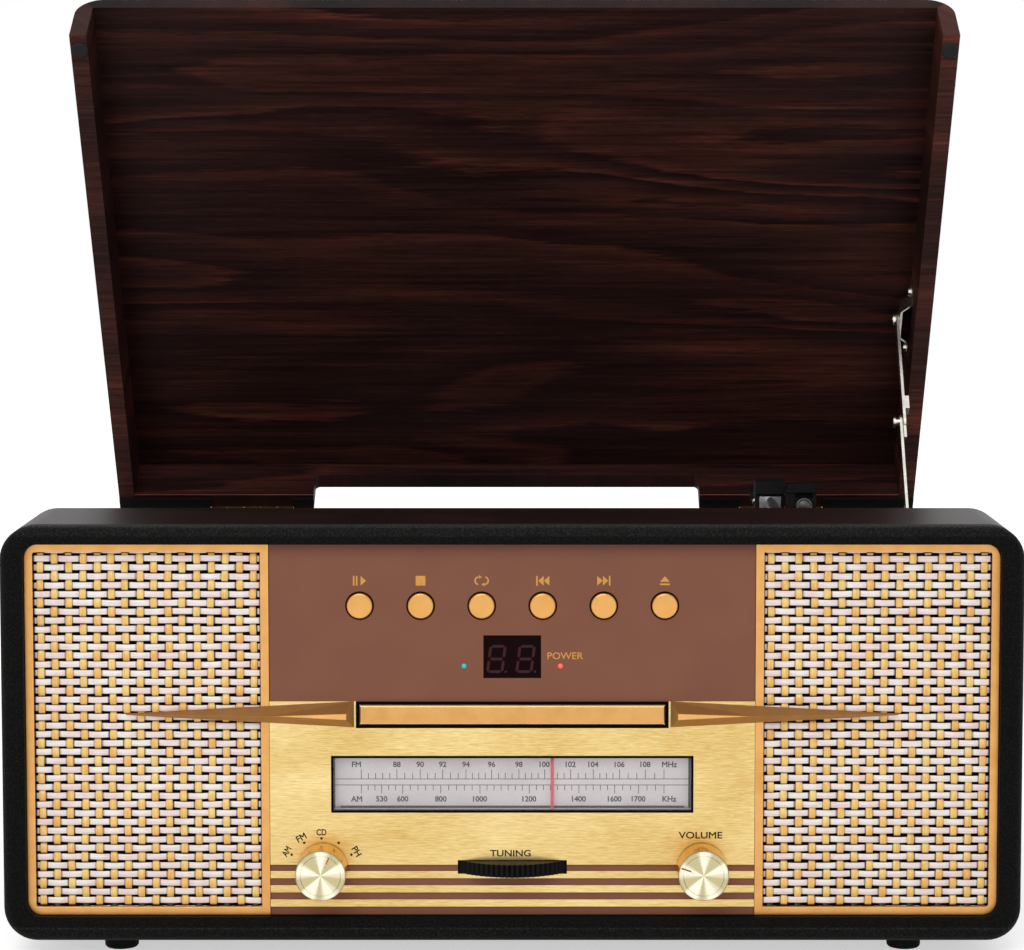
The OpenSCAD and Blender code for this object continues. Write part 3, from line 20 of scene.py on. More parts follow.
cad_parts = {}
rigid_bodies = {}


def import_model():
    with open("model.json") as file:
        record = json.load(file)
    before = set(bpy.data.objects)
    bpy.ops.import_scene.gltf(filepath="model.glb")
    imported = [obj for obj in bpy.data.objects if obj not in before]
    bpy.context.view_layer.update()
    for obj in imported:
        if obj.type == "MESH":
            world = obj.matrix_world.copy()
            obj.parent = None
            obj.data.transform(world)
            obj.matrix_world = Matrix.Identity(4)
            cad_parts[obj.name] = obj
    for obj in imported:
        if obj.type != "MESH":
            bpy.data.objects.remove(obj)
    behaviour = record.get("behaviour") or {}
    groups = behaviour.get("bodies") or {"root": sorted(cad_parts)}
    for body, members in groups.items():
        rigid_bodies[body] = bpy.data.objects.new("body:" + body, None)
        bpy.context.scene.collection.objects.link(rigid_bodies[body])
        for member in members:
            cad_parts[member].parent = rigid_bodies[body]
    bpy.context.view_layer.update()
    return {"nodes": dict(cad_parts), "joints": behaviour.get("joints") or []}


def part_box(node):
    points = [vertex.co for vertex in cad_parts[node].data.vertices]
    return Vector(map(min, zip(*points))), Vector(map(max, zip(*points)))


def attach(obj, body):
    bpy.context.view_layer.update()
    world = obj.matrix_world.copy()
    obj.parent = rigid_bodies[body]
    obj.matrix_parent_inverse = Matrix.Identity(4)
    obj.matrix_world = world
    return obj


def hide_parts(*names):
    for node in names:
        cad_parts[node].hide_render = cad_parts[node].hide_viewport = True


for leftover in list(bpy.data.objects):  # the objects that a new file opens with
    bpy.data.objects.remove(leftover)
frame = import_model()

log = logging.getLogger("music_centre")

MM = 0.001
FRONT_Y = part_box("front_frame")[0].y / MM
Nodes = bpy.types.NodeTree
Node = bpy.types.Node
Mesh = bpy.types.Mesh
Pair = tuple[float, float]
Outline = list[Pair]
Triple = tuple[float, float, float]
Streak = tuple[float, float, float, float]


def linear(colour: str) -> tuple[float, float, float, float]:
    """Turn an sRGB hex colour into a linear one.

    Args:
        colour: The colour as "#rrggbb".

    Returns:
        Red, green, blue and an alpha of 1.
    """
    parts = [int(colour[i:i + 2], 16) / 255 for i in (1, 3, 5)]
    red, green, blue = (c / 12.92 if c <= 0.04045 else ((c + 0.055) / 1.055) ** 2.4 for c in parts)
    return red, green, blue, 1.0


def plug(tree: Nodes, node: Node, inputs: dict) -> None:
    """Set or link a node's inputs.

    Args:
        tree: The node tree.
        node: The node.
        inputs: A value, a node, a socket or a list of these for each input name or number.
    """
    for key, value in inputs.items():
        if isinstance(key, int):
            socket = node.inputs[key]
        else:
            socket = next(s for s in node.inputs if s.name == key and s.enabled)
        for one in value if isinstance(value, list) else [value]:
            if isinstance(one, Node):
                one = next(s for s in one.outputs if s.enabled)
            if isinstance(one, bpy.types.NodeSocket):
                tree.links.new(one, socket)
            else:
                socket.default_value = one


def add(tree: Nodes, kind: str, inputs: dict | None = None, stops: Sequence | None = None,
        **settings: object) -> Node:
    """Add a node with its settings, values and links.

    Args:
        tree: The node tree.
        kind: Blender's name of the node type.
        inputs: What plug() takes.
        stops: Places and hex colours of a colour ramp, in order.
        settings: Properties of the node.

    Returns:
        The new node.
    """
    node = tree.nodes.new(kind)
    for name, value in settings.items():
        setattr(node, name, value)
    if stops:
        ramp = node.color_ramp
        ramp.elements.remove(ramp.elements[1])
        ramp.elements[0].position = stops[0][0]
        ramp.elements[0].color = linear(stops[0][1])
        for place, colour in stops[1:]:
            ramp.elements.new(place).color = linear(colour)
    plug(tree, node, inputs or {})
    return node


@dataclass(frozen=True)
class Finish:
    """What a surface is made of. Each kind of finish lays its own nodes in paint().

    A pattern's scale there is 1 over its real size in millimetres.
    """

    name: str

    def material(self) -> bpy.types.Material:
        """Make the material on its first use.

        Returns:
            The finish's material.
        """
        made = bpy.data.materials.get(self.name)
        if made is None:
            made = bpy.data.materials.new(self.name)
            made.use_nodes = True
            tree = made.node_tree
            self.paint(tree, tree.nodes["Principled BSDF"])
        return made

    def paint(self, tree: Nodes, shader: Node) -> None:
        """Lay the finish's nodes.

        Args:
            tree: The material's node tree.
            shader: Its Principled shader.
        """
        raise NotImplementedError

    @staticmethod
    def point(tree: Nodes) -> bpy.types.NodeSocket:
        """Read the surface point in millimetres.

        Args:
            tree: The material's nodes.

        Returns:
            The socket with the point.
        """
        place = add(tree, "ShaderNodeTexCoord").outputs["Object"]
        scale = (1 / MM, 1 / MM, 1 / MM)
        return add(tree, "ShaderNodeVectorMath", {0: place, 1: scale}, operation="MULTIPLY").outputs[0]

    @staticmethod
    def relief(tree: Nodes, shader: Node, height: object, depth: float,
               strength: float = 1.0) -> None:
        """Give the shader a relief.

        Args:
            tree: The material's node tree.
            shader: Its Principled shader.
            height: Node or socket with the height, from 0 to 1.
            depth: The relief's depth in millimetres.
            strength: How much of it shows.
        """
        bump = add(tree, "ShaderNodeBump", {"Height": height, "Distance": depth * MM, "Strength": strength})
        plug(tree, shader, {"Normal": bump})


@dataclass(frozen=True)
class RosewoodFoil(Finish):
    """Printed rosewood foil wrapped round board: dark arched figure with red-brown bands, satin.

    The arches are contour lines of a slow drift, as sawn growth rings are: red where a ring
    starts and nearly black where it ends. Fine streaks run along them. A streak's four numbers
    are its length, its width and its darkest and brightest tone. The board's rim, below a level
    along rim_up, is multiplied by its rim tone, all round or only where it faces rim_facing. This is
    painted light: painted shade where the tone is below 1, and a painted highlight where it is above.
    """

    along: Triple
    across: Triple
    arch_length: float = 400.0
    arch_width: float = 70.0
    rings: float = 8.0
    seed: float = 0.0
    tone: float = 1.0
    rim_up: Triple | None = None
    rim_level: float = 0.0
    rim_painted_light: float = 1.5
    rim_facing: Triple | None = None
    rim_blur: float = 0.3
    roughness: float = 0.5
    shine: float = 0.08
    ripple: Streak = (34.0, 2.6, -0.13, 0.13)
    patches: Streak = (300.0, 30.0, 0.0, 1.0)
    fine: tuple[Streak, ...] = ((170.0, 4.5, 0.55, 1.4), (60.0, 1.7, 0.62, 1.4), (9.0, 0.6, 0.72, 1.34))
    ground: str = "#2a1714"
    figure: tuple[tuple[float, str], ...] = (
        (0.0, "#1a0f0d"), (0.14, "#502820"), (0.3, "#42221c"), (0.65, "#2b1815"), (1.0, "#1a0f0d"))

    @staticmethod
    def streaks(tree: Nodes, sheet: Node, streak: Streak) -> Node:
        """Draw one size of streak as a tone that multiplies the colour.

        Args:
            tree: The material's node tree.
            sheet: Node with the place along and across the grain.
            streak: The streak's length and width in millimetres and its two tones.

        Returns:
            The node with the tone.
        """
        length, width, low, high = streak
        place = add(tree, "ShaderNodeMapping", {"Vector": sheet, "Scale": (1 / length, 1 / width, 1.0)})
        noise = add(tree, "ShaderNodeTexNoise", {
            "Vector": place, "Scale": 1.0, "Detail": 4.0, "Roughness": 0.62})
        return add(tree, "ShaderNodeMapRange", {
            "Value": noise, "From Min": 0.3, "From Max": 0.7, "To Min": low, "To Max": high})

    def paint(self, tree: Nodes, shader: Node) -> None:
        """Lay the figure, the streaks, the pores and the satin coat.

        Args:
            tree: The material's nodes.
            shader: Its shader.
        """
        point = self.point(tree)
        run, width = (
            add(tree, "ShaderNodeVectorMath", {0: point, 1: way}, operation="DOT_PRODUCT").outputs["Value"]
            for way in (self.along, self.across))
        sheet = add(tree, "ShaderNodeCombineXYZ", {"X": run, "Y": width, "Z": self.seed})
        slow = add(tree, "ShaderNodeMapping", {
            "Vector": sheet, "Scale": (1 / self.arch_length, 1 / self.arch_width, 1.0)})
        drift = add(tree, "ShaderNodeTexNoise", {
            "Vector": slow, "Scale": 1.0, "Detail": 2.0, "Roughness": 0.4, "Distortion": 0.3})
        ripple = self.streaks(tree, sheet, self.ripple)
        ragged = add(tree, "ShaderNodeMath", {0: drift, 1: self.rings, 2: ripple}, operation="MULTIPLY_ADD")
        band = add(tree, "ShaderNodeMath", {0: ragged}, operation="FRACT")
        figure = add(tree, "ShaderNodeValToRGB", {"Fac": band}, stops=self.figure)
        patches = self.streaks(tree, sheet, self.patches)
        colour = add(tree, "ShaderNodeMix", {
            "Factor": patches, "A": linear(self.ground), "B": figure}, data_type="RGBA")
        tones = [self.streaks(tree, sheet, streak) for streak in self.fine]
        tones.append(add(tree, "ShaderNodeValue"))
        tones[-1].outputs[0].default_value = self.tone
        # The rim's tone is painted light: painted shade where it darkens, and a painted highlight where it
        # brightens.
        if self.rim_up:
            level = add(tree, "ShaderNodeVectorMath", {0: point, 1: self.rim_up}, operation="DOT_PRODUCT")
            rim = add(tree, "ShaderNodeMapRange", {
                "Value": level.outputs["Value"], "From Min": self.rim_level,
                "From Max": self.rim_level + self.rim_blur, "To Min": 1.0, "To Max": 0.0})
            if self.rim_facing:
                normal = add(tree, "ShaderNodeTexCoord").outputs["Normal"]
                facing = add(tree, "ShaderNodeVectorMath", {0: normal, 1: self.rim_facing},
                             operation="DOT_PRODUCT")
                rim = add(tree, "ShaderNodeMath", {0: rim, 1: facing.outputs["Value"]},
                          operation="MULTIPLY", use_clamp=True)
            tones.append(add(tree, "ShaderNodeMapRange", {
                "Value": rim, "To Min": 1.0, "To Max": self.rim_painted_light}))
        for tone in tones:
            colour = add(tree, "ShaderNodeVectorMath", {0: colour, 1: tone}, operation="MULTIPLY")
        plug(tree, shader, {
            "Base Color": colour, "Roughness": self.roughness, "Specular IOR Level": self.shine})
        self.relief(tree, shader, tones[2], 0.05, 0.4)


@dataclass(frozen=True)
class GrainedWrap(Finish):
    """Black vinyl wrap with a leather grain: small pebbles whose tops are painted lighter, as a
    painted grey highlight.

    Bands are levels above the table where the wrap turns to the light, painted lighter there as
    painted highlights: from, to and their tone.
    """

    pebble: float = 1.05
    bands: tuple[Triple, ...] = (
        (8.0, 14.6, 1.8), (14.6, 15.2, 4.0), (200.6, 204.5, 2.2), (204.5, 205.5, 6.0))
    blur: float = 0.35

    def paint(self, tree: Nodes, shader: Node) -> None:
        """Lay the pebbles and the black between them.

        Args:
            tree: The material's nodes.
            shader: Its shader.
        """
        point = self.point(tree)
        cells = add(tree, "ShaderNodeTexVoronoi", {
            "Vector": point, "Scale": 1 / self.pebble, "Randomness": 1.0})
        grain = add(tree, "ShaderNodeTexNoise", {"Vector": point, "Scale": 2.4, "Detail": 3.0})
        domes = add(tree, "ShaderNodeMapRange", {
            "Value": cells, "From Min": 0.1, "From Max": 0.85, "To Min": 1.0, "To Max": 0.0})
        height = add(tree, "ShaderNodeMath", {0: grain, 1: 0.35, 2: domes}, operation="MULTIPLY_ADD")
        # Painted highlight: the pebbles' tops are lighter than the black between them.
        tops = add(tree, "ShaderNodeValToRGB", {"Fac": height}, stops=[
            (0.25, "#080808"), (0.8, "#0d0d0c"), (1.0, "#181918")])
        level = add(tree, "ShaderNodeSeparateXYZ", {0: point}).outputs["Z"]
        tone: object = 1.0
        # Painted highlights: bands of height where the wrap's rounded edges turn to the light.
        for low, high, lift in self.bands:
            rise, fall = (
                add(tree, "ShaderNodeMapRange", {
                    "Value": level, "From Min": edge - self.blur, "From Max": edge + self.blur,
                    "To Min": start, "To Max": 1.0 - start})
                for edge, start in ((low, 0.0), (high, 1.0)))
            band = add(tree, "ShaderNodeMath", {0: rise, 1: fall}, operation="MULTIPLY")
            tone = add(tree, "ShaderNodeMath", {0: band, 1: lift - 1.0, 2: tone}, operation="MULTIPLY_ADD")
        lit = add(tree, "ShaderNodeVectorMath", {0: tops, 1: tone}, operation="MULTIPLY")
        plug(tree, shader, {"Base Color": lit, "Roughness": 0.6, "Specular IOR Level": 0.05})
        self.relief(tree, shader, height, 0.22, 0.9)


@dataclass(frozen=True)
class Enamel(Finish):
    """Stoved satin enamel: an even colour with a slight mottle and an orange-peel skin."""

    light: str
    dark: str
    roughness: float = 0.46

    def paint(self, tree: Nodes, shader: Node) -> None:
        """Lay the mottle and the skin.

        Args:
            tree: The material's nodes.
            shader: Its shader.
        """
        point = self.point(tree)
        mottle = add(tree, "ShaderNodeTexNoise", {"Vector": point, "Scale": 1 / 24, "Detail": 5.0})
        colour = add(tree, "ShaderNodeValToRGB", {"Fac": mottle}, stops=[
            (0.35, self.dark), (0.65, self.light)])
        peel = add(tree, "ShaderNodeTexNoise", {"Vector": point, "Scale": 1 / 0.8, "Detail": 2.0})
        plug(tree, shader, {
            "Base Color": colour, "Roughness": self.roughness, "Specular IOR Level": 0.25})
        self.relief(tree, shader, peel, 0.02, 0.5)


@dataclass(frozen=True)
class BrushedAluminium(Finish):
    """Aluminium sheet brushed lengthwise and anodised: fine level streaks, soft long highlights.

    Real brush marks are a tenth of a millimetre high. They are drawn coarser, so that they show.
    """

    light: str
    mid: str
    dark: str
    roughness: float = 0.34

    def paint(self, tree: Nodes, shader: Node) -> None:
        """Lay the brush marks.

        Args:
            tree: The material's nodes.
            shader: Its shader.
        """
        point = self.point(tree)
        streak, hair, cloud = (
            add(tree, "ShaderNodeTexNoise", {
                "Vector": add(tree, "ShaderNodeMapping", {"Vector": point, "Scale": scale}),
                "Scale": 1.0, "Detail": detail, "Roughness": 0.6})
            for scale, detail in (((1 / 5, 1 / 3, 1 / 0.42), 4.0), ((1 / 12, 1 / 3, 1 / 0.3), 3.0),
                                  ((1 / 60, 1 / 60, 1 / 26), 1.0)))
        marks = add(tree, "ShaderNodeMix", {"Factor": 0.5, "A": streak, "B": hair}, data_type="FLOAT")
        mixed = add(tree, "ShaderNodeMix", {"Factor": 0.25, "A": marks, "B": cloud}, data_type="FLOAT")
        colour = add(tree, "ShaderNodeValToRGB", {"Fac": mixed}, stops=[
            (0.38, self.dark), (0.5, self.mid), (0.62, self.light)])
        plug(tree, shader, {
            "Base Color": colour, "Metallic": 1.0, "Roughness": self.roughness, "Anisotropic": 0.5})
        self.relief(tree, shader, marks, 0.01, 0.4)


@dataclass(frozen=True)
class GoldLacquer(Finish):
    """Gold lacquer over plated plastic: warm metal with a fine haze, and a painted highlight along its
    edges.
    """

    colour: str
    deep: str
    lit: str
    roughness: float = 0.38
    edge: float = 0.5

    def paint(self, tree: Nodes, shader: Node) -> None:
        """Lay the lacquer's haze, round the edges and paint a highlight along them.

        Args:
            tree: The material's nodes.
            shader: Its shader.
        """
        point = self.point(tree)
        haze = add(tree, "ShaderNodeTexNoise", {"Vector": point, "Scale": 1 / 9, "Detail": 4.0})
        colour = add(tree, "ShaderNodeValToRGB", {"Fac": haze}, stops=[
            (0.3, self.deep), (0.62, self.colour)])
        soft = add(tree, "ShaderNodeBevel", {"Radius": self.edge * MM}, samples=6)
        flat = add(tree, "ShaderNodeNewGeometry").outputs["Normal"]
        bend = add(tree, "ShaderNodeVectorMath", {0: soft, 1: flat}, operation="DOT_PRODUCT")
        # Painted highlight: a pale colour where the rounded normal turns away from the flat one.
        edge = add(tree, "ShaderNodeMapRange", {
            "Value": bend.outputs["Value"], "From Min": 0.99, "From Max": 0.86})
        lit = add(tree, "ShaderNodeMix", {
            "Factor": edge, "A": colour, "B": linear(self.lit)}, data_type="RGBA")
        fine = add(tree, "ShaderNodeTexNoise", {"Vector": point, "Scale": 1 / 0.5, "Detail": 1.0})
        bump = add(tree, "ShaderNodeBump", {
            "Height": fine, "Distance": 0.01 * MM, "Strength": 0.3, "Normal": soft})
        plug(tree, shader, {
            "Base Color": lit, "Metallic": 0.9, "Roughness": self.roughness, "Normal": bump})


@dataclass(frozen=True)
class PolishedWedge(Finish):
    """Polished gold wedge with painted reflections: its ridge is painted with the bright room, and its
    slopes with the darker table and wood.
    """

    ridge: str
    above: str
    below: str
    end: str
    round: float = 0.4

    def paint(self, tree: Nodes, shader: Node) -> None:
        """Lay the painted reflection of each slope as its colour, with a cloudy polish.

        Args:
            tree: The material's nodes.
            shader: Its shader.
        """
        point = self.point(tree)
        # Painted reflection: each slope and end takes the colour of what it would mirror, by the way it
        # faces.
        rounded = add(tree, "ShaderNodeBevel", {"Radius": self.round * MM}, samples=6)
        normal = add(tree, "ShaderNodeSeparateXYZ", {0: rounded})
        rise = add(tree, "ShaderNodeMapRange", {"Value": normal.outputs["Z"], "From Min": -1.0})
        slopes = add(tree, "ShaderNodeValToRGB", {"Fac": rise}, stops=[
            (0.42, self.below), (0.47, self.ridge), (0.53, self.ridge), (0.58, self.above)])
        aside = add(tree, "ShaderNodeMath", {0: normal.outputs["X"]}, operation="ABSOLUTE")
        at_end = add(tree, "ShaderNodeMapRange", {"Value": aside, "From Min": 0.25, "From Max": 0.4})
        whole = add(tree, "ShaderNodeMix", {
            "Factor": at_end, "A": slopes, "B": linear(self.end)}, data_type="RGBA")
        cloud = add(tree, "ShaderNodeTexNoise", {"Vector": point, "Scale": 1 / 7, "Detail": 3.0})
        tone = add(tree, "ShaderNodeMapRange", {
            "Value": cloud, "From Min": 0.3, "From Max": 0.7, "To Min": 0.93, "To Max": 1.07})
        shown = add(tree, "ShaderNodeVectorMath", {0: whole, 1: tone}, operation="MULTIPLY")
        plug(tree, shader, {"Base Color": shown, "Metallic": 0.35, "Roughness": 0.45})
        self.relief(tree, shader, cloud, 0.01, 0.3)


@dataclass(frozen=True)
class WovenStrip(Finish):
    """Plastic weaving strip: a pearly skin with fine fibres along it and a tone that varies.

    The strips carry the attribute "shade", a painted shade that is dark where they dive under a crossing
    one.
    """

    light: str
    dark: str
    lengthwise: Triple
    roughness: float = 0.38
    metallic: float = 0.0

    def paint(self, tree: Nodes, shader: Node) -> None:
        """Lay the fibres and the slow change of tone.

        Args:
            tree: The material's nodes.
            shader: Its shader.
        """
        point = self.point(tree)
        fibre = add(tree, "ShaderNodeTexNoise", {
            "Vector": add(tree, "ShaderNodeMapping", {"Vector": point, "Scale": self.lengthwise}),
            "Scale": 1.0, "Detail": 2.0})
        tone = add(tree, "ShaderNodeTexNoise", {"Vector": point, "Scale": 1 / 7, "Detail": 2.0})
        mixed = add(tree, "ShaderNodeMix", {"Factor": 0.5, "A": fibre, "B": tone}, data_type="FLOAT")
        colour = add(tree, "ShaderNodeValToRGB", {"Fac": mixed}, stops=[
            (0.38, self.dark), (0.62, self.light)])
        # The shade attribute is painted shade from the weave and the frame.
        shade = add(tree, "ShaderNodeAttribute", attribute_name="shade").outputs["Fac"]
        shaded = add(tree, "ShaderNodeVectorMath", {0: colour, 1: shade}, operation="MULTIPLY")
        plug(tree, shader, {
            "Base Color": shaded, "Roughness": self.roughness, "Metallic": self.metallic,
            "Specular IOR Level": 0.3})
        self.relief(tree, shader, fibre, 0.04, 0.6)


@dataclass(frozen=True)
class MouldedPlastic(Finish):
    """Injection-moulded plastic with a spark-eroded grain: a faint sparkle on an even colour.

    The grain is drawn about twice as coarse as the real one, so that it shows.
    """

    colour: str
    pale: str
    roughness: float = 0.5
    grain: float = 0.35
    depth: float = 0.03
    shine: float = 0.12

    def paint(self, tree: Nodes, shader: Node) -> None:
        """Lay the grain.

        Args:
            tree: The material's nodes.
            shader: Its shader.
        """
        point = self.point(tree)
        speck = add(tree, "ShaderNodeTexNoise", {"Vector": point, "Scale": 1 / self.grain, "Detail": 3.0})
        patch = add(tree, "ShaderNodeTexNoise", {"Vector": point, "Scale": 1 / 30, "Detail": 3.0})
        mixed = add(tree, "ShaderNodeMix", {"Factor": 0.4, "A": speck, "B": patch}, data_type="FLOAT")
        colour = add(tree, "ShaderNodeValToRGB", {"Fac": mixed}, stops=[
            (0.35, self.colour), (0.7, self.pale)])
        plug(tree, shader, {
            "Base Color": colour, "Roughness": self.roughness, "Specular IOR Level": self.shine})
        self.relief(tree, shader, speck, self.depth, 0.7)


@dataclass(frozen=True)
class PlatedMetal(Finish):
    """Metal with a plated or satin skin: cloudy brightness and short scratches, drawn coarse."""

    light: str
    dark: str
    roughness: float = 0.3
    scratch: float = 0.6

    def paint(self, tree: Nodes, shader: Node) -> None:
        """Lay the clouds and the scratches.

        Args:
            tree: The material's nodes.
            shader: Its shader.
        """
        point = self.point(tree)
        cloud = add(tree, "ShaderNodeTexNoise", {"Vector": point, "Scale": 1 / 6, "Detail": 4.0})
        marks = add(tree, "ShaderNodeTexNoise", {
            "Vector": add(tree, "ShaderNodeMapping", {
                "Vector": point, "Scale": (1 / self.scratch, 1 / 6, 1 / self.scratch)}),
            "Scale": 1.0, "Detail": 3.0})
        mixed = add(tree, "ShaderNodeMix", {"Factor": 0.5, "A": cloud, "B": marks}, data_type="FLOAT")
        colour = add(tree, "ShaderNodeValToRGB", {"Fac": mixed}, stops=[
            (0.35, self.dark), (0.65, self.light)])
        plug(tree, shader, {"Base Color": colour, "Metallic": 1.0, "Roughness": self.roughness})
        self.relief(tree, shader, marks, 0.01, 0.4)


@dataclass(frozen=True)
class WeightedArm(Finish):
    """Tone arm: a satin aluminium tube that ends in a black-lacquered weight behind its pivot."""

    weight_y: float
    light: str = "#cfd0d2"
    dark: str = "#a9abae"
    black: str = "#0e0e0f"

    def paint(self, tree: Nodes, shader: Node) -> None:
        """Lay the tube's clouds and the black of the weight.

        Args:
            tree: The material's nodes.
            shader: Its shader.
        """
        point = self.point(tree)
        cloud = add(tree, "ShaderNodeTexNoise", {"Vector": point, "Scale": 1 / 6, "Detail": 4.0})
        tube = add(tree, "ShaderNodeValToRGB", {"Fac": cloud}, stops=[
            (0.35, self.dark), (0.65, self.light)])
        behind = add(tree, "ShaderNodeSeparateXYZ", {0: point}).outputs["Y"]
        weight = add(tree, "ShaderNodeMapRange", {
            "Value": behind, "From Min": self.weight_y, "From Max": self.weight_y + 0.2})
        colour = add(tree, "ShaderNodeMix", {
            "Factor": weight, "A": tube, "B": linear(self.black)}, data_type="RGBA")
        metal = add(tree, "ShaderNodeMapRange", {"Value": weight, "To Min": 1.0, "To Max": 0.2})
        plug(tree, shader, {
            "Base Color": colour, "Metallic": metal, "Roughness": 0.34, "Specular IOR Level": 0.15})
        self.relief(tree, shader, cloud, 0.01, 0.4)


@dataclass(frozen=True)
class SpunMetal(Finish):
    """Metal faced on a lathe: rings too fine to see, which fan the light out in spokes.

    The rings are drawn coarser, and the spokes are painted into the colour too, as painted
    highlights: wide soft sectors round the turning axis, which sway aside unevenly. The side is left
    in its golden lacquer, and a darker line runs round where the two meet. The flank slants more
    than the cosines of flank_slants.
    """

    centre: Triple
    axis: Triple
    light: str
    dark: str
    side: str = "#efb43c"
    edge: str = "#8a7f5c"
    edge_radius: float = 11.45
    edge_blur: float = 0.15
    flank_slants: Pair = (0.45, 0.3)
    spokes: int = 5
    sway: float = 5.0
    roughness: float = 0.26
    ring: float = 0.5

    def paint(self, tree: Nodes, shader: Node) -> None:
        """Lay the turned rings, the sectors of painted highlight and the direction of the turning.

        Args:
            tree: The material's nodes.
            shader: Its shader.
        """
        point = self.point(tree)
        arm = add(tree, "ShaderNodeVectorMath", {0: point, 1: self.centre}, operation="SUBTRACT")
        axis = Vector(self.axis).normalized()
        first = axis.orthogonal().normalized()
        second = axis.cross(first)
        flat = [
            add(tree, "ShaderNodeVectorMath", {0: arm, 1: tuple(way)}, operation="DOT_PRODUCT"
                ).outputs["Value"]
            for way in (first, second)]
        # Painted highlights: bright and dark sectors round the axis, standing for the spokes of light.
        angle = add(tree, "ShaderNodeMath", {0: flat[0], 1: flat[1]}, operation="ARCTAN2")
        fan = add(tree, "ShaderNodeCombineXYZ", {
            "X": add(tree, "ShaderNodeMath", {0: angle}, operation="COSINE"),
            "Y": add(tree, "ShaderNodeMath", {0: angle}, operation="SINE")})
        uneven = add(tree, "ShaderNodeTexNoise", {"Vector": fan, "Scale": 1.6, "Detail": 1.0})
        turns = add(tree, "ShaderNodeMath", {0: angle, 1: float(self.spokes)}, operation="MULTIPLY")
        swayed = add(tree, "ShaderNodeMath", {0: uneven, 1: self.sway, 2: turns}, operation="MULTIPLY_ADD")
        wave = add(tree, "ShaderNodeMath", {0: swayed}, operation="SINE")
        colour = add(tree, "ShaderNodeValToRGB", {
            "Fac": add(tree, "ShaderNodeMapRange", {"Value": wave, "From Min": -1.0})}, stops=[
            (0.1, self.dark), (0.75, self.light)])
        flat_arm = add(tree, "ShaderNodeCombineXYZ", {"X": flat[0], "Y": flat[1]})
        radius = add(tree, "ShaderNodeVectorMath", {0: flat_arm}, operation="LENGTH").outputs["Value"]
        rim = add(tree, "ShaderNodeMapRange", {
            "Value": radius, "From Min": self.edge_radius, "From Max": self.edge_radius + self.edge_blur})
        face = add(tree, "ShaderNodeMix", {
            "Factor": rim, "A": colour, "B": linear(self.edge)}, data_type="RGBA")
        normal = add(tree, "ShaderNodeTexCoord").outputs["Normal"]
        along = add(tree, "ShaderNodeVectorMath", {0: normal, 1: tuple(axis)}, operation="DOT_PRODUCT")
        turned = add(tree, "ShaderNodeMath", {0: along.outputs["Value"]}, operation="ABSOLUTE")
        steep, flat_out = self.flank_slants
        flank = add(tree, "ShaderNodeMapRange", {"Value": turned, "From Min": steep, "From Max": flat_out})
        whole = add(tree, "ShaderNodeMix", {
            "Factor": flank, "A": face, "B": linear(self.side)}, data_type="RGBA")
        rings = add(tree, "ShaderNodeTexNoise", {"W": radius, "Scale": 1 / self.ring, "Detail": 2.0},
                    noise_dimensions="1D")
        tangent = add(tree, "ShaderNodeVectorMath", {0: tuple(axis), 1: arm}, operation="CROSS_PRODUCT")
        unit = add(tree, "ShaderNodeVectorMath", {0: tangent}, operation="NORMALIZE")
        plug(tree, shader, {
            "Base Color": whole, "Tangent": unit, "Metallic": 1.0, "Roughness": self.roughness,
            "Anisotropic": 0.75})
        self.relief(tree, shader, rings, 0.01, 0.5)


@dataclass(frozen=True)
class TurnedRings(Finish):
    """Part turned or moulded in rings about an upright axis, such as a cast platter or a rubber mat."""

    centre: Triple
    light: str
    dark: str
    metallic: float
    roughness: float
    ring: float = 1.2
    depth: float = 0.05
    shine: float = 0.5

    def paint(self, tree: Nodes, shader: Node) -> None:
        """Lay the rings and a cloudy tone.

        Args:
            tree: The material's nodes.
            shader: Its shader.
        """
        point = self.point(tree)
        arm = add(tree, "ShaderNodeVectorMath", {0: point, 1: self.centre}, operation="SUBTRACT")
        level = add(tree, "ShaderNodeVectorMath", {0: arm, 1: (1.0, 1.0, 0.0)}, operation="MULTIPLY")
        radius = add(tree, "ShaderNodeVectorMath", {0: level}, operation="LENGTH").outputs["Value"]
        rings = add(tree, "ShaderNodeTexNoise", {"W": radius, "Scale": 1 / self.ring, "Detail": 3.0},
                    noise_dimensions="1D")
        cloud = add(tree, "ShaderNodeTexNoise", {"Vector": point, "Scale": 1 / 18, "Detail": 5.0})
        mixed = add(tree, "ShaderNodeMix", {"Factor": 0.5, "A": rings, "B": cloud}, data_type="FLOAT")
        colour = add(tree, "ShaderNodeValToRGB", {"Fac": mixed}, stops=[
            (0.35, self.dark), (0.65, self.light)])
        plug(tree, shader, {
            "Base Color": colour, "Metallic": self.metallic, "Roughness": self.roughness,
            "Specular IOR Level": self.shine})
        self.relief(tree, shader, rings, self.depth, 0.6)


@dataclass(frozen=True)
class TintedAcrylic(Finish):
    """Cast acrylic, clear or smoked: a polished sheet with faint polishing haze."""

    colour: str
    alpha: float = 1.0
    roughness: float = 0.06
    shine: float = 0.12

    def paint(self, tree: Nodes, shader: Node) -> None:
        """Lay the haze and the transparency.

        Args:
            tree: The material's nodes.
            shader: Its shader.
        """
        point = self.point(tree)
        haze = add(tree, "ShaderNodeTexNoise", {"Vector": point, "Scale": 1 / 5, "Detail": 4.0})
        gloss = add(tree, "ShaderNodeMapRange", {
            "Value": haze, "To Min": self.roughness * 0.5, "To Max": self.roughness * 1.5})
        plug(tree, shader, {
            "Roughness": gloss, "Base Color": linear(self.colour), "Specular IOR Level": self.shine,
            "Alpha": self.alpha})


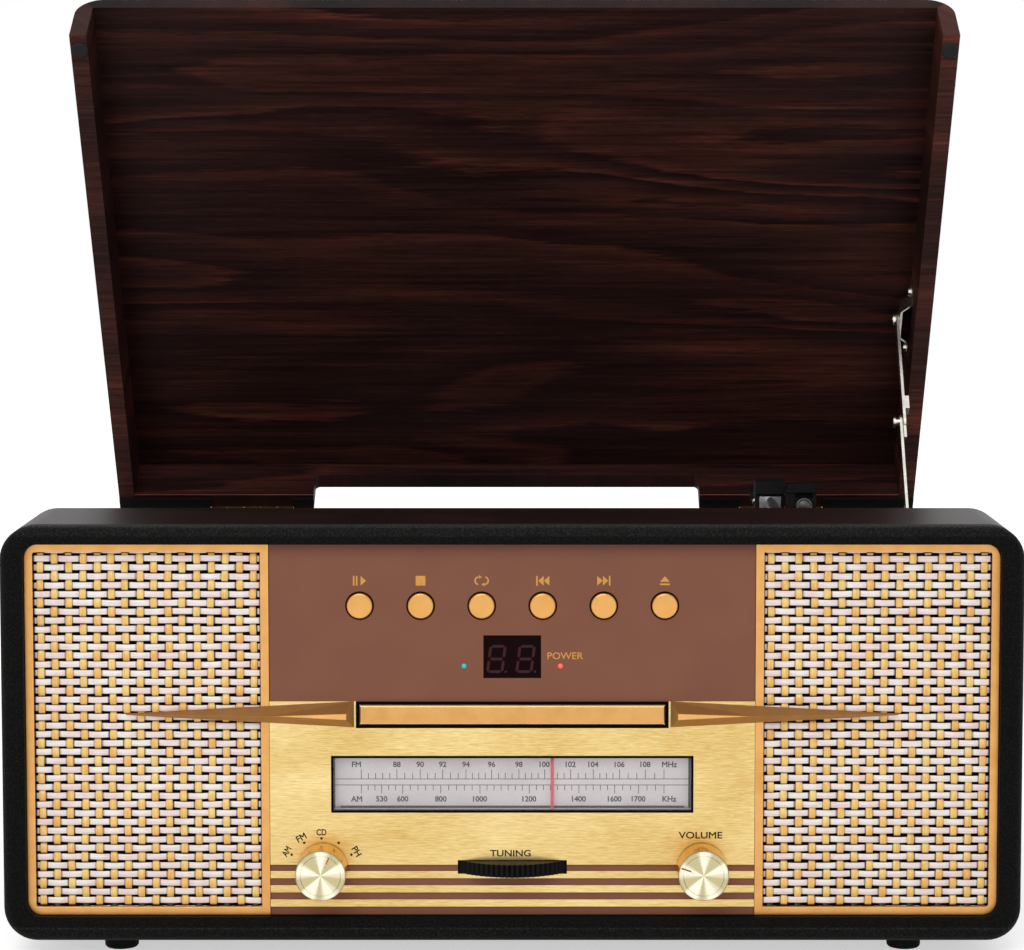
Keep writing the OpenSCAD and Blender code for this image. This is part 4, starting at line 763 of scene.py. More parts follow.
@dataclass(frozen=True)
class PrintedSheet(Finish):
    """Aluminium sheet, bead-blasted and lacquered silver: an even sparkle under a soft sheen.

    The beads' dents are drawn a few times coarser than real ones, so that they show.
    """

    light: str
    dark: str

    def paint(self, tree: Nodes, shader: Node) -> None:
        """Lay the blasted grain.

        Args:
            tree: The material's nodes.
            shader: Its shader.
        """
        point = self.point(tree)
        bead = add(tree, "ShaderNodeTexNoise", {"Vector": point, "Scale": 1 / 0.5, "Detail": 2.0})
        soft = add(tree, "ShaderNodeTexNoise", {"Vector": point, "Scale": 1 / 22, "Detail": 2.0})
        mixed = add(tree, "ShaderNodeMix", {"Factor": 0.6, "A": bead, "B": soft}, data_type="FLOAT")
        colour = add(tree, "ShaderNodeValToRGB", {"Fac": mixed}, stops=[
            (0.35, self.dark), (0.65, self.light)])
        plug(tree, shader, {"Base Color": colour, "Metallic": 0.35, "Roughness": 0.42})
        self.relief(tree, shader, bead, 0.01, 0.5)


@dataclass(frozen=True)
class Ink(Finish):
    """Screen-printed ink: a matt film whose cover is a little uneven."""

    colour: str
    thin: str

    def paint(self, tree: Nodes, shader: Node) -> None:
        """Lay the uneven cover.

        Args:
            tree: The material's nodes.
            shader: Its shader.
        """
        cover = add(tree, "ShaderNodeTexNoise", {"Vector": self.point(tree), "Scale": 2.0, "Detail": 3.0})
        colour = add(tree, "ShaderNodeValToRGB", {"Fac": cover}, stops=[
            (0.3, self.thin), (0.6, self.colour)])
        plug(tree, shader, {"Base Color": colour, "Roughness": 0.5, "Specular IOR Level": 0.2})


@dataclass(frozen=True)
class LitLens(Finish):
    """Coloured lens with a small lamp behind it: a bright heart that darkens towards its rim.

    Where the lens faces the front, the lamp shines through it. The power is how soon it fades.
    """

    heart: str
    rim: str
    glow: float
    power: float = 0.8

    def paint(self, tree: Nodes, shader: Node) -> None:
        """Lay the lens colour by its slant and the glow of the lamp.

        Args:
            tree: The material's nodes.
            shader: Its shader.
        """
        normal = add(tree, "ShaderNodeTexCoord").outputs["Normal"]
        facing = add(tree, "ShaderNodeVectorMath", {0: normal, 1: (0.0, -1.0, 0.0)},
                     operation="DOT_PRODUCT").outputs["Value"]
        bright = add(tree, "ShaderNodeMath", {0: facing, 1: self.power}, operation="POWER")
        colour = add(tree, "ShaderNodeValToRGB", {"Fac": bright}, stops=[
            (0.2, self.rim), (0.9, self.heart)])
        plug(tree, shader, {
            "Base Color": colour, "Emission Color": colour, "Emission Strength": self.glow,
            "Roughness": 0.2})


@dataclass(frozen=True)
class CircuitBoard(Finish):
    """Green solder resist over copper tracks: darker lanes on a glossy board."""

    def paint(self, tree: Nodes, shader: Node) -> None:
        """Lay the tracks.

        Args:
            tree: The material's nodes.
            shader: Its shader.
        """
        point = self.point(tree)
        lanes = add(tree, "ShaderNodeTexBrick", {
            "Vector": point, "Color1": linear("#1d5a2c"), "Color2": linear("#246b36"),
            "Mortar": linear("#123c1e"), "Scale": 0.4, "Mortar Size": 0.06})
        plug(tree, shader, {"Base Color": lanes, "Roughness": 0.3})
        self.relief(tree, shader, lanes.outputs["Fac"], 0.03, 0.5)


@dataclass(frozen=True)
class Laminations(Finish):
    """Stack of varnished iron sheets: level lines of brown and grey, twice as coarse as real ones."""

    sheet: float = 1.0

    def paint(self, tree: Nodes, shader: Node) -> None:
        """Lay the edges of the sheets.

        Args:
            tree: The material's nodes.
            shader: Its shader.
        """
        point = self.point(tree)
        lines = add(tree, "ShaderNodeTexWave", {
            "Vector": point, "Scale": 0.31 / self.sheet, "Distortion": 0.4}, bands_direction="Z")
        colour = add(tree, "ShaderNodeValToRGB", {"Fac": lines}, stops=[
            (0.2, "#2a1a10"), (0.6, "#5a3a22"), (0.9, "#6d5540")])
        plug(tree, shader, {"Base Color": colour, "Metallic": 0.5, "Roughness": 0.4})
        self.relief(tree, shader, lines, 0.05)


@dataclass(frozen=True)
class FibreBoard(Finish):
    """Pressed board, such as hardboard or a paper cone: short fibres that lie in all directions."""

    light: str
    dark: str
    fibre: float = 1.6
    roughness: float = 0.75

    def paint(self, tree: Nodes, shader: Node) -> None:
        """Lay the fibres.

        Args:
            tree: The material's nodes.
            shader: Its shader.
        """
        point = self.point(tree)
        twist = add(tree, "ShaderNodeTexNoise", {"Vector": point, "Scale": 1 / 6, "Detail": 1.0})
        bent = add(tree, "ShaderNodeVectorMath", {
            0: twist.outputs["Color"], 1: (9.0, 9.0, 9.0), 2: point}, operation="MULTIPLY_ADD")
        fibres = add(tree, "ShaderNodeTexNoise", {"Vector": bent, "Scale": 1 / self.fibre, "Detail": 5.0,
                                                  "Roughness": 0.7})
        colour = add(tree, "ShaderNodeValToRGB", {"Fac": fibres}, stops=[
            (0.35, self.dark), (0.68, self.light)])
        plug(tree, shader, {"Base Color": colour, "Roughness": self.roughness, "Specular IOR Level": 0.2})
        self.relief(tree, shader, fibres, 0.08, 0.7)


@dataclass(frozen=True)
class OpenCloth(Finish):
    """Thin black acoustic cloth: a plain weave that swallows the light, drawn coarser to show."""

    thread: float = 0.9

    def paint(self, tree: Nodes, shader: Node) -> None:
        """Lay the crossing threads.

        Args:
            tree: The material's nodes.
            shader: Its shader.
        """
        point = self.point(tree)
        waves = [
            add(tree, "ShaderNodeTexWave", {"Vector": point, "Scale": 0.31 / self.thread},
                bands_direction=direction)
            for direction in ("X", "Z")]
        weave = add(tree, "ShaderNodeMath", {0: waves[0], 1: waves[1]}, operation="MAXIMUM")
        colour = add(tree, "ShaderNodeValToRGB", {"Fac": weave}, stops=[(0.2, "#050404"), (0.9, "#141110")])
        plug(tree, shader, {"Base Color": colour, "Roughness": 0.9, "Specular IOR Level": 0.1})
        self.relief(tree, shader, weave, 0.1, 0.7)


def lid_axes() -> tuple[Vector, Vector, Vector]:
    """Find the open lid's own directions from its joint.

    Returns:
        The joint's anchor in metres, the direction that was forward on the closed lid, and the
        one that was up on it.
    """
    joint = next(j for j in frame["joints"] if j["name"] == "lid_hinge")
    turn = Matrix.Rotation(math.radians(joint["range_deg"][0]), 3, "X")
    anchor = Vector(joint["pos_m"])
    return anchor, turn @ Vector((0, 1, 0)), turn @ Vector((0, 0, 1))


class Wood:
    """The foil as it is laid on the boards, with painted light on some of their rims.

    The cabinet's top board carries a painted dark reflection of the lid, the lid's front edge a
    painted shade, and the lower edges of the lid's side and rear walls painted highlights.
    """

    hinge, back, up = lid_axes()
    lid_depth = 329.55
    top_board_depth = 78.0
    # Painted dark reflection of the open lid on the front of the cabinet's top board.
    cabinet = RosewoodFoil("rosewood_foil_cabinet", (1.0, 0.0, 1.0), (0.0, 1.0, 0.0), seed=3.0, tone=0.6,
                           rim_up=(0.0, 1.0, 0.0), rim_level=FRONT_Y + top_board_depth, rim_painted_light=0.5,
                           rim_facing=(0.0, 0.0, 1.0), roughness=0.38, shine=0.12)
    # Painted shade on the lid's front edge.
    lid_top = RosewoodFoil("rosewood_foil_lid_panel", (1.0, 0.0, 0.0), tuple(back), seed=11.0,
                           rim_up=tuple(back), rim_level=back.dot(hinge) / MM - lid_depth, rim_painted_light=0.5)
    # Painted highlight on the lower edges of the side walls.
    lid_side = RosewoodFoil("rosewood_foil_lid_sides", tuple(Vector((1.0, 0.0, 0.0)) + up), tuple(back),
                            seed=17.0, rings=3.0, tone=1.1, rim_up=tuple(up),
                            rim_level=up.dot(hinge) / MM + 0.8)
    # Painted highlight along the rear wall's lower inner edge.
    lid_rear = RosewoodFoil("rosewood_foil_lid_rear", (1.0, 0.0, 0.0), tuple(up), seed=23.0,
                            arch_width=40.0, rim_up=tuple(up), rim_level=up.dot(hinge) / MM + 1.1,
                            rim_painted_light=9.0, rim_facing=tuple(-back))


# The front: grained black, even brown, and golds that differ in warmth.
WRAP = GrainedWrap("leather_grain_wrap")
BROWN_ENAMEL = Enamel("brown_enamel", "#84543f", "#80503d")
BRUSHED_GOLD = BrushedAluminium("brushed_gold_aluminium", "#ebd59a", "#ddc180", "#c8a45c")
# The third colour of each lacquer is the painted highlight on its edges.
GOLD_FRAME = GoldLacquer("gold_lacquer_frame", "#dfa662", "#d39955", "#f7cf92", edge=0.4)
GOLD_DOOR = GoldLacquer("gold_lacquer_door", "#d4a260", "#ca9657", "#fff0c8", edge=0.8)
# The wing's colours are painted reflections of the room, table and wood.
GOLD_WING = PolishedWedge("polished_gold_wing", "#f3b367", "#92632f", "#ad7c3e", "#a07a48")
GOLD_BUTTON = GoldLacquer("gold_plated_button", "#dca55e", "#d69c56", "#fff0c0", 0.32, 0.6)
# The grilles: warm glinting strips, cool pearly ones, and cloth that swallows the light.
GOLD_THREAD = WovenStrip("gold_weaving_strip", "#ffe08c", "#f6b65e", (2.2, 1.0, 1 / 12), 0.4, 0.05)
PALE_STRIP = WovenStrip("pearl_weaving_strip", "#fffaf6", "#f4dcda", (1 / 10, 1.0, 2.4))
ACOUSTIC_CLOTH = OpenCloth("black_acoustic_cloth")
# Plastic, rubber and acrylic: blacks that differ in grain and gloss, and clear or red sheets.
BLACK_BOARD = MouldedPlastic("black_painted_board", "#0a0a0a", "#161514", 0.7, 0.8)
BLACK_PLASTIC = MouldedPlastic("black_abs", "#080808", "#111112", 0.42, shine=0.08)
BEZEL_BLACK = MouldedPlastic("matt_black_bezel", "#040303", "#080606", 0.6, shine=0.03)
DECK_PLASTIC = MouldedPlastic("fine_grain_black_abs", "#0e0e0f", "#1a1a1b", 0.55, 0.5, 0.05)
RUBBER = MouldedPlastic("moulded_rubber", "#0d0d0d", "#1b1a1a", 0.8, 0.6, 0.04, 0.15)
BUMPER_RUBBER = MouldedPlastic("grey_bumper_rubber", "#242424", "#303030", 0.8, 0.6, 0.04)
RED_SHELL = MouldedPlastic("red_cartridge_plastic", "#a11f18", "#b83325", 0.3, shine=0.5)
SMOKED_RED = TintedAcrylic("smoked_red_acrylic", "#140305", shine=0.03)
CLEAR_LENS = TintedAcrylic("clear_acrylic", "#ffffff", 0.07)
POINTER_RED = TintedAcrylic("red_acrylic", "#e63a50", roughness=0.2)
# The dial's even silver, thin matt inks, and two lenses that glow a little.
DIAL_SILVER = PrintedSheet("silver_dial_sheet", "#d9d2d4", "#c9c0c3")
BLACK_INK = Ink("black_ink", "#1d1712", "#2c231a")
GREY_INK = Ink("dark_grey_ink", "#231c1d", "#2e2627")
RED_INK = Ink("red_brown_ink", "#b8674a", "#a55a40")
GOLD_INK = Ink("gold_ink", "#e3a650", "#cf9243")
PALE_INK = Ink("pale_grey_ink", "#b9b7b2", "#9a9893")
SEGMENT_RED = Ink("unlit_segment", "#380a16", "#2c0812")
TEAL_LENS = LitLens("teal_lamp_lens", "#2fb0ae", "#14605f", 0.25)
RED_LENS = LitLens("red_lamp_lens", "#f0604c", "#a02a20", 0.4)
# Inside and behind: glossy boards, lined iron, dull paper and hardboard, and a black sheet of painted
# shade.
GREEN_BOARD = CircuitBoard("green_circuit_board")
CORE_IRON = Laminations("varnished_laminations")
PAPER_CONE = FibreBoard("pressed_paper_cone", "#262524", "#131212")
# A black sheet that stands for painted shade in the lid's hinge gap.
SHADE_SHEET = FibreBoard("black_shade_sheet", "#0a0707", "#050403", 0.8, 0.9)
HARDBOARD = FibreBoard("dark_hardboard", "#3a2c23", "#241a14")
# Metals: cloudy grey zinc, bright nickel and aluminium, yellow brass and dark screw steel.
ZINC = PlatedMetal("zinc_plated_steel", "#9fa1a4", "#7c7e82", 0.36)
NICKEL = PlatedMetal("nickel_plated_steel", "#fbf5ec", "#d2cabe", 0.22)
BRASS_PLATE = PlatedMetal("brass_plated_steel", "#cdb06a", "#9c8146", 0.3)
DULL_ZINC = PlatedMetal("dull_zinc_casting", "#6c6a66", "#474542", 0.5)
SCREW_STEEL = PlatedMetal("blackened_screw_steel", "#4a4a4c", "#2c2c2e", 0.35)
TURNED_BRASS = PlatedMetal("turned_brass", "#dcb868", "#b8923f", 0.25)
SATIN_ALUMINIUM = PlatedMetal("satin_aluminium", "#cfd0d2", "#a9abae", 0.32)


def gather(name: str, parts: Iterable[Mesh]) -> bpy.types.Object:
    """Join meshes in one new object and free them.

    Args:
        name: The object's name.
        parts: Meshes with their place in their points.

    Returns:
        The object, linked to the scene.
    """
    joined = bmesh.new()
    materials: list[bpy.types.Material] = []
    for part in parts:
        first = len(joined.faces)
        joined.from_mesh(part)
        joined.faces.ensure_lookup_table()
        for face in joined.faces[first:]:
            material = part.materials[face.material_index] if part.materials else None
            if material not in materials:
                materials.append(material)
            face.material_index = materials.index(material)
        bpy.data.meshes.remove(part)
    mesh = bpy.data.meshes.new(name)
    joined.to_mesh(mesh)
    joined.free()
    for material in materials:
        mesh.materials.append(material)
    made = bpy.data.objects.new(name, mesh)
    bpy.context.scene.collection.objects.link(made)
    return made


def place_piece(piece: bpy.types.Object, body: str, finish: Finish | None = None) -> None:
    """Finish a piece, let it ride on its body and report it.

    Args:
        piece: The piece, with its place in its mesh.
        body: The body that it moves with.
        finish: What it is made of, where its mesh has no material yet.
    """
    if finish:
        piece.data.materials.clear()
        piece.data.materials.append(finish.material())
    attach(piece, body)
    log.info("%s: %d faces, rides on %s", piece.name, len(piece.data.polygons), body)


def wear(finish: Finish, *nodes: str) -> None:
    """Give CAD nodes their finish.

    Args:
        finish: What the nodes are made of.
        nodes: Their names.
    """
    for name in nodes:
        slots = frame["nodes"][name].data.materials
        for i in range(len(slots)):
            slots[i] = finish.material()
        log.info("%s: %s", name, finish.name)


def standing(x: float, y: float, z: float, turn: float = 0.0) -> Matrix:
    """Return the matrix that stands a flat drawing up on the front.

    Args:
        x: Distance from the middle.
        y: Distance behind the front frame's plane.
        z: Height above the table.
        turn: Clockwise turn in degrees, as seen from the front.

    Returns:
        A matrix from millimetres in the drawing's plane to metres in the frame.
    """
    place = Vector((x, y + FRONT_Y, z)) * MM
    upright = Matrix.Rotation(math.pi / 2, 4, "X") @ Matrix.Rotation(-math.radians(turn), 4, "Z")
    return Matrix.Translation(place) @ upright @ Matrix.Scale(MM, 4)


def lying(x: float, y: float, z: float, turn: float = 0.0) -> Matrix:
    """Return the matrix that lays a flat drawing on a level face, with standing()'s arguments."""
    place = Vector((x, y + FRONT_Y, z)) * MM
    return Matrix.Translation(place) @ Matrix.Rotation(-math.radians(turn), 4, "Z") @ Matrix.Scale(MM, 4)


def cut_out(outlines: Iterable[Outline], thick: float, place: Matrix) -> Mesh:
    """Make thin closed plates from flat outlines.

    Args:
        outlines: Outlines in the drawing's plane, each a list of points in order.
        thick: Their thickness in the drawing's unit, half of it on each side of the plane.
        place: Matrix from the drawing to the frame.

    Returns:
        One mesh with all the plates.
    """
    solid = bmesh.new()
    for outline in outlines:
        front, back = (
            [solid.verts.new((x, y, height)) for x, y in outline] for height in (thick / 2, -thick / 2))
        solid.faces.new(front)
        solid.faces.new(reversed(back))
        for i, corner in enumerate(front):
            j = (i + 1) % len(front)
            solid.faces.new((corner, back[i], back[j], front[j]))
    bmesh.ops.recalc_face_normals(solid, faces=solid.faces)
    solid.transform(place)
    mesh = bpy.data.meshes.new("plates")
    solid.to_mesh(mesh)
    solid.free()
    return mesh


def lathe(profile: Outline, place: Matrix, steps: int = 32) -> Mesh:
    """Turn a closed profile about the drawing's Z axis.

    Args:
        profile: Points as radius and height, the first and last on the axis or meeting each other.
        place: Matrix from the drawing to the frame.
        steps: Number of faces round the axis.

    Returns:
        The turned mesh.
    """
    solid = bmesh.new()
    points = [solid.verts.new((radius, 0.0, height)) for radius, height in profile]
    edges = [solid.edges.new(pair) for pair in zip(points, points[1:])]
    bmesh.ops.spin(solid, geom=points + edges, axis=(0, 0, 1), cent=(0, 0, 0), steps=steps,
                   angle=2 * math.pi, use_merge=True)
    bmesh.ops.remove_doubles(solid, verts=solid.verts, dist=1e-5)
    bmesh.ops.recalc_face_normals(solid, faces=solid.faces)
    for face in solid.faces:
        face.smooth = True
    solid.transform(place)
    mesh = bpy.data.meshes.new("turned")
    solid.to_mesh(mesh)
    solid.free()
    return mesh


def circle_points(radius: float, count: int = 24, x: float = 0.0, y: float = 0.0) -> Outline:
    """Return the outline of a disc about the point x, y."""
    angles = [2 * math.pi * i / count for i in range(count)]
    return [(x + radius * math.cos(a), y + radius * math.sin(a)) for a in angles]


@dataclass(frozen=True)
class Word:
    """One word of lettering: where its middle is, its cap height, its turn and how bold it is.

    The weight is a slope round each letter, and thick half of its plate, as shares of its size.
    """

    text: str
    x: float
    z: float
    height: float
    turn: float = 0.0
    width: float | None = None
    weight: float = 0.012
    thick: float = 0.004

    def mesh(self, place: Matrix) -> Mesh:
        """Cut the word's letters as thin plates.

        Args:
            place: Matrix from the drawing to the frame.

        Returns:
            The letters' mesh, with the middle of the word at the drawing's origin.
        """
        curve = bpy.data.curves.new("letters", "FONT")
        curve.body = self.text
        curve.extrude = self.thick
        curve.bevel_depth = self.weight
        curve.bevel_resolution = 0
        curve.resolution_u = 4
        holder = bpy.data.objects.new("letters", curve)
        bpy.context.scene.collection.objects.link(holder)
        graph = bpy.context.evaluated_depsgraph_get()
        mesh = bpy.data.meshes.new_from_object(holder.evaluated_get(graph))
        bpy.data.objects.remove(holder)
        bpy.data.curves.remove(curve)
        low, high = (
            Vector([pick(v.co[axis] for v in mesh.vertices) for axis in range(3)]) for pick in (min, max))
        up = self.height / (high.y - low.y)
        across = self.width / (high.x - low.x) if self.width else up
        mesh.transform(Matrix.Diagonal((across, up, up, 1.0)) @ Matrix.Translation(-(low + high) / 2))
        mesh.transform(place)
        return mesh


@dataclass
class Layout:
    """A Geometry Nodes tree with named inputs, which lays out what repeats on a host mesh."""

    name: str
    sockets: dict[str, str]
    tree: Nodes = field(init=False)
    keys: dict[str, str] = field(init=False)
    source: Node = field(init=False)

    def __post_init__(self) -> None:
        """Make the tree with its inputs."""
        self.tree = bpy.data.node_groups.new(self.name, "GeometryNodeTree")
        face = self.tree.interface
        for way in ("INPUT", "OUTPUT"):
            face.new_socket("Geometry", in_out=way, socket_type="NodeSocketGeometry")
        self.keys = {
            name: face.new_socket(name, in_out="INPUT", socket_type=f"NodeSocket{kind}").identifier
            for name, kind in self.sockets.items()}
        self.source = add(self.tree, "NodeGroupInput")

    def get(self, name: str) -> bpy.types.NodeSocket:
        """Return the socket that brings a named input into the tree."""
        return self.source.outputs[name]

    def close(self, geometry: object, material: str | None = "Material") -> None:
        """End the tree with real geometry in its material.

        Args:
            geometry: Node or socket with the geometry.
            material: Name of the input that holds the material, or None where it is set already.
        """
        solid = add(self.tree, "GeometryNodeRealizeInstances", {"Geometry": geometry})
        if material:
            solid = add(self.tree, "GeometryNodeSetMaterial", {
                "Geometry": solid, "Material": self.get(material)})
        add(self.tree, "NodeGroupOutput", {"Geometry": solid})

    def run(self, name: str, host: Mesh, **values: object) -> bpy.types.Object:
        """Run the tree on a host mesh and keep the result as a plain mesh.

        Args:
            name: Name of the new piece.
            host: The mesh that the tree starts from.
            values: The named inputs, with an underscore for each space.

        Returns:
            The piece.
        """
        piece = bpy.data.objects.new(name, host)
        bpy.context.scene.collection.objects.link(piece)
        modifier = piece.modifiers.new(self.name, "NODES")
        modifier.node_group = self.tree
        for key, value in values.items():
            modifier[self.keys[key.replace("_", " ")]] = value
        graph = bpy.context.evaluated_depsgraph_get()
        made = bpy.data.meshes.new_from_object(
            piece.evaluated_get(graph), preserve_all_data_layers=True, depsgraph=graph)
        piece.modifiers.clear()
        piece.data = made
        bpy.data.meshes.remove(host)
        made.name = name
        return piece


def point_cloud(points: Iterable[Sequence[float]], **values: Sequence[float]) -> Mesh:
    """Make a mesh of loose points in metres, with a number named at each of them.

    Args:
        points: The points.
        values: For each attribute's name, its value at each point.

    Returns:
        The mesh.
    """
    mesh = bpy.data.meshes.new("points")
    mesh.from_pydata([tuple(p) for p in points], [], [])
    for name, numbers in values.items():
        mesh.attributes.new(name, "FLOAT", "POINT").data.foreach_set("value", list(numbers))
    return mesh


@dataclass(frozen=True)
class PhotoCamera:
    """The camera of the picture, in metres, radians, millimetres of lens and shares of the frame."""

    place: Triple = (0.008827, -1.566824, 0.370747)
    tilt_down: float = 0.076
    lens: float = 102.787
    sensor: float = 36.0
    clip: Pair = (0.05, 40.0)
    shift: Pair = (-0.01861, -0.0801)

    def build(self) -> None:
        """Make the camera and look through it."""
        data = bpy.data.cameras.new("camera")
        data.lens = self.lens
        data.sensor_width = self.sensor
        data.shift_x, data.shift_y = self.shift
        data.clip_start, data.clip_end = self.clip
        camera = bpy.data.objects.new("camera", data)
        camera.location = self.place
        camera.rotation_euler = (math.pi / 2 - self.tilt_down, 0.0, 0.0)
        bpy.context.scene.collection.objects.link(camera)
        bpy.context.scene.camera = camera
        log.info("camera: %.0f mm lens", self.lens)


@dataclass(frozen=True)
class Studio:
    """A pale floor, an even sky and one large soft lamp above the front."""

    floor_size: float = 8.0
    sky: float = 0.66
    lamp_power: float = 26.0
    lamp_size: float = 1.6
    lamp_place: Triple = (-0.5, -2.2, 2.0)
    lamp_aim: Triple = (0.0, 0.0, 0.15)
    floor_lift: float = 0.55

    def build(self) -> None:
        """Make the sky, the lamp and the floor."""
        self.build_sky()
        self.build_lamp()
        self.build_floor()
        bpy.context.scene.view_settings.view_transform = "Standard"
        log.info("studio: sky %.2f, lamp %.0f W", self.sky, self.lamp_power)

    def build_sky(self) -> None:
        """Light the object evenly and show white to the camera, to metal and through glass."""
        world = bpy.data.worlds.new("studio")
        bpy.context.scene.world = world
        world.use_nodes = True
        tree = world.node_tree
        tree.nodes.clear()
        path = add(tree, "ShaderNodeLightPath").outputs
        seen = add(tree, "ShaderNodeMath", {
            0: path["Is Camera Ray"], 1: path["Is Glossy Ray"]}, operation="MAXIMUM")
        shown = add(tree, "ShaderNodeMath", {0: seen, 1: path["Is Transmission Ray"]}, operation="MAXIMUM")
        light, white = (
            add(tree, "ShaderNodeBackground", {"Color": linear("#ffffff"), "Strength": strength})
            for strength in (self.sky, 1.0))
        mix = add(tree, "ShaderNodeMixShader", {0: shown, 1: light, 2: white})
        add(tree, "ShaderNodeOutputWorld", {"Surface": mix})

    def build_lamp(self) -> None:
        """Hang the soft lamp."""
        data = bpy.data.lights.new("soft_lamp", "AREA")
        data.energy = self.lamp_power
        data.size = self.lamp_size
        lamp = bpy.data.objects.new("soft_lamp", data)
        lamp.location = self.lamp_place
        aim = Vector(self.lamp_aim) - Vector(self.lamp_place)
        lamp.rotation_euler = aim.to_track_quat("-Z", "Y").to_euler()
        bpy.context.scene.collection.objects.link(lamp)

    def build_floor(self) -> None:
        """Lay the pale floor, which keeps the object's shadow."""
        half = self.floor_size / 2
        mesh = bpy.data.meshes.new("floor")
        mesh.from_pydata([(x * half, y * half, 0.0) for x, y in ((-1, -1), (1, -1), (1, 1), (-1, 1))],
                         [], [(0, 1, 2, 3)])
        floor = bpy.data.objects.new("floor", mesh)
        material = bpy.data.materials.new("pale_floor")
        material.use_nodes = True
        tree = material.node_tree
        shader = tree.nodes["Principled BSDF"]
        plug(tree, shader, {
            "Base Color": linear("#e8e8e8"), "Roughness": 0.8, "Specular IOR Level": 0.0,
            "Emission Color": linear("#ffffff")})
        seen = add(tree, "ShaderNodeLightPath").outputs
        shown = add(tree, "ShaderNodeMath", {
            0: seen["Is Camera Ray"], 1: seen["Is Glossy Ray"]}, operation="MAXIMUM")
        lift = add(tree, "ShaderNodeMath", {0: shown, 1: self.floor_lift}, operation="MULTIPLY")
        plug(tree, shader, {"Emission Strength": lift})
        mesh.materials.append(material)
        bpy.context.scene.collection.objects.link(floor)


@dataclass
class Screws:
    """Pan-head screws with a cross recess, as one tree that is run for each set of places.

    The cross has its length, width, depth and level as shares of the head's radius and height.
    """

    head_radius: float = 3.0
    head_height: float = 1.5
    seed: int = 5
    cross: Pair = (1.25, 0.24)
    cross_depth: float = 0.9
    cross_level: float = 0.95
    layout: Layout = field(init=False)

    def __post_init__(self) -> None:
        """Draw one head and put it on every point of the host."""
        self.layout = Layout("cross_screws", {
            "Radius": "Float", "Height": "Float", "Facing": "Rotation", "Seed": "Int",
            "Material": "Material"})
        tree, get = self.layout.tree, self.layout.get
        ball = add(tree, "GeometryNodeMeshUVSphere", {"Segments": 20, "Rings": 12, "Radius": 1.0})
        keep = add(tree, "GeometryNodeMeshCube", {"Size": (3.0, 3.0, 1.2)})
        upper = add(tree, "GeometryNodeTransform", {"Geometry": keep, "Translation": (0.0, 0.0, 0.55)})
        cap = add(tree, "GeometryNodeMeshBoolean", {"Mesh": [ball, upper]}, operation="INTERSECT")
        bars = [
            add(tree, "GeometryNodeTransform", {
                "Geometry": add(tree, "GeometryNodeMeshCube", {"Size": (*sides, self.cross_depth)}),
                "Translation": (0.0, 0.0, self.cross_level)})
            for sides in (self.cross, self.cross[::-1])]
        head = add(tree, "GeometryNodeMeshBoolean", {0: cap, 1: bars}, operation="DIFFERENCE")
        size = add(tree, "ShaderNodeCombineXYZ", {
            "X": get("Radius"), "Y": get("Radius"), "Z": get("Height")})
        turn = add(tree, "FunctionNodeRandomValue", {"Max": math.pi, "Seed": get("Seed")})
        spin = add(tree, "FunctionNodeAxisAngleToRotation", {"Axis": (0.0, 0.0, 1.0), "Angle": turn})
        facing = add(tree, "FunctionNodeRotateRotation", {
            "Rotation": get("Facing"), "Rotate By": spin}, rotation_space="LOCAL")
        heads = add(tree, "GeometryNodeInstanceOnPoints", {
            "Points": get("Geometry"), "Instance": head, "Rotation": facing, "Scale": size})
        self.layout.close(heads)

    def drive(self, name: str, points: Iterable[Vector], outward: Vector, finish: Finish, body: str,
              scale: float = 1.0) -> None:
        """Put a screw head on each point.

        Args:
            name: Name of the piece.
            points: The middles of the heads' seats, in metres.
            outward: Direction that the heads face.
            finish: What the screws are made of.
            body: The body that they hold to.
            scale: Size of the heads against the usual one.
        """
        facing = Vector(outward).to_track_quat("Z", "Y").to_euler()
        piece = self.layout.run(
            name, point_cloud(points), Radius=self.head_radius * scale * MM,
            Height=self.head_height * scale * MM, Facing=facing, Seed=self.seed,
            Material=finish.material())
        place_piece(piece, body)


@dataclass(frozen=True)
class Cabinet:
    """Wooden cabinet with its moulded front frame, hardboard back, sockets and feet."""

    rear_screws: tuple[Pair, ...] = ((0.0, 21.5), (-210.5, 21.5), (210.5, 21.5))
    jack_x: float = 96.0
    jack_z: Pair = (71.0, 53.0)
    jack_rim: Triple = (5.9, 4.3, 0.9)
    jack_nose: float = 1.45

    def build(self, screws: Screws) -> None:
        """Finish the cabinet and fit its screws and socket rims.

        Args:
            screws: The screws' layout.
        """
        wear(Wood.cabinet, "cabinet_shell")
        wear(WRAP, "front_frame")
        wear(HARDBOARD, "rear_panel")
        wear(BLACK_PLASTIC, "rear_sockets")
        wear(RUBBER, "feet")
        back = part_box("rear_panel")[1].y
        screws.drive("rear_panel_screws", [Vector((x * MM, back, z * MM)) for x, z in self.rear_screws],
                     Vector((0, 1, 0)), SCREW_STEEL, "cabinet", scale=0.9)
        self.build_jack_rims(back)

    def build_jack_rims(self, back: float) -> None:
        """Fit the coloured rims that tell the two line sockets apart.

        Args:
            back: The back panel's outer face, in metres.
        """
        outer, inner, thick = self.jack_rim
        low, high = self.jack_nose, self.jack_nose + thick
        profile = [(inner, low), (outer, low), (outer, low + thick * 0.6), (outer - 0.4, high),
                   (inner, high), (inner, low)]
        colours = (Enamel("white_socket_rim", "#e4e2dc", "#d6d3cc"),
                   Enamel("red_socket_rim", "#b3241f", "#a01c18"))
        for name, z, finish in zip(("upper_line_rim", "lower_line_rim"), self.jack_z, colours):
            outward = Matrix.Rotation(-math.pi / 2, 4, "X")
            place = Matrix.Translation((self.jack_x * MM, back, z * MM)) @ outward @ Matrix.Scale(MM, 4)
            rim = gather(name, [lathe(profile, place)])
            place_piece(rim, "cabinet", finish)


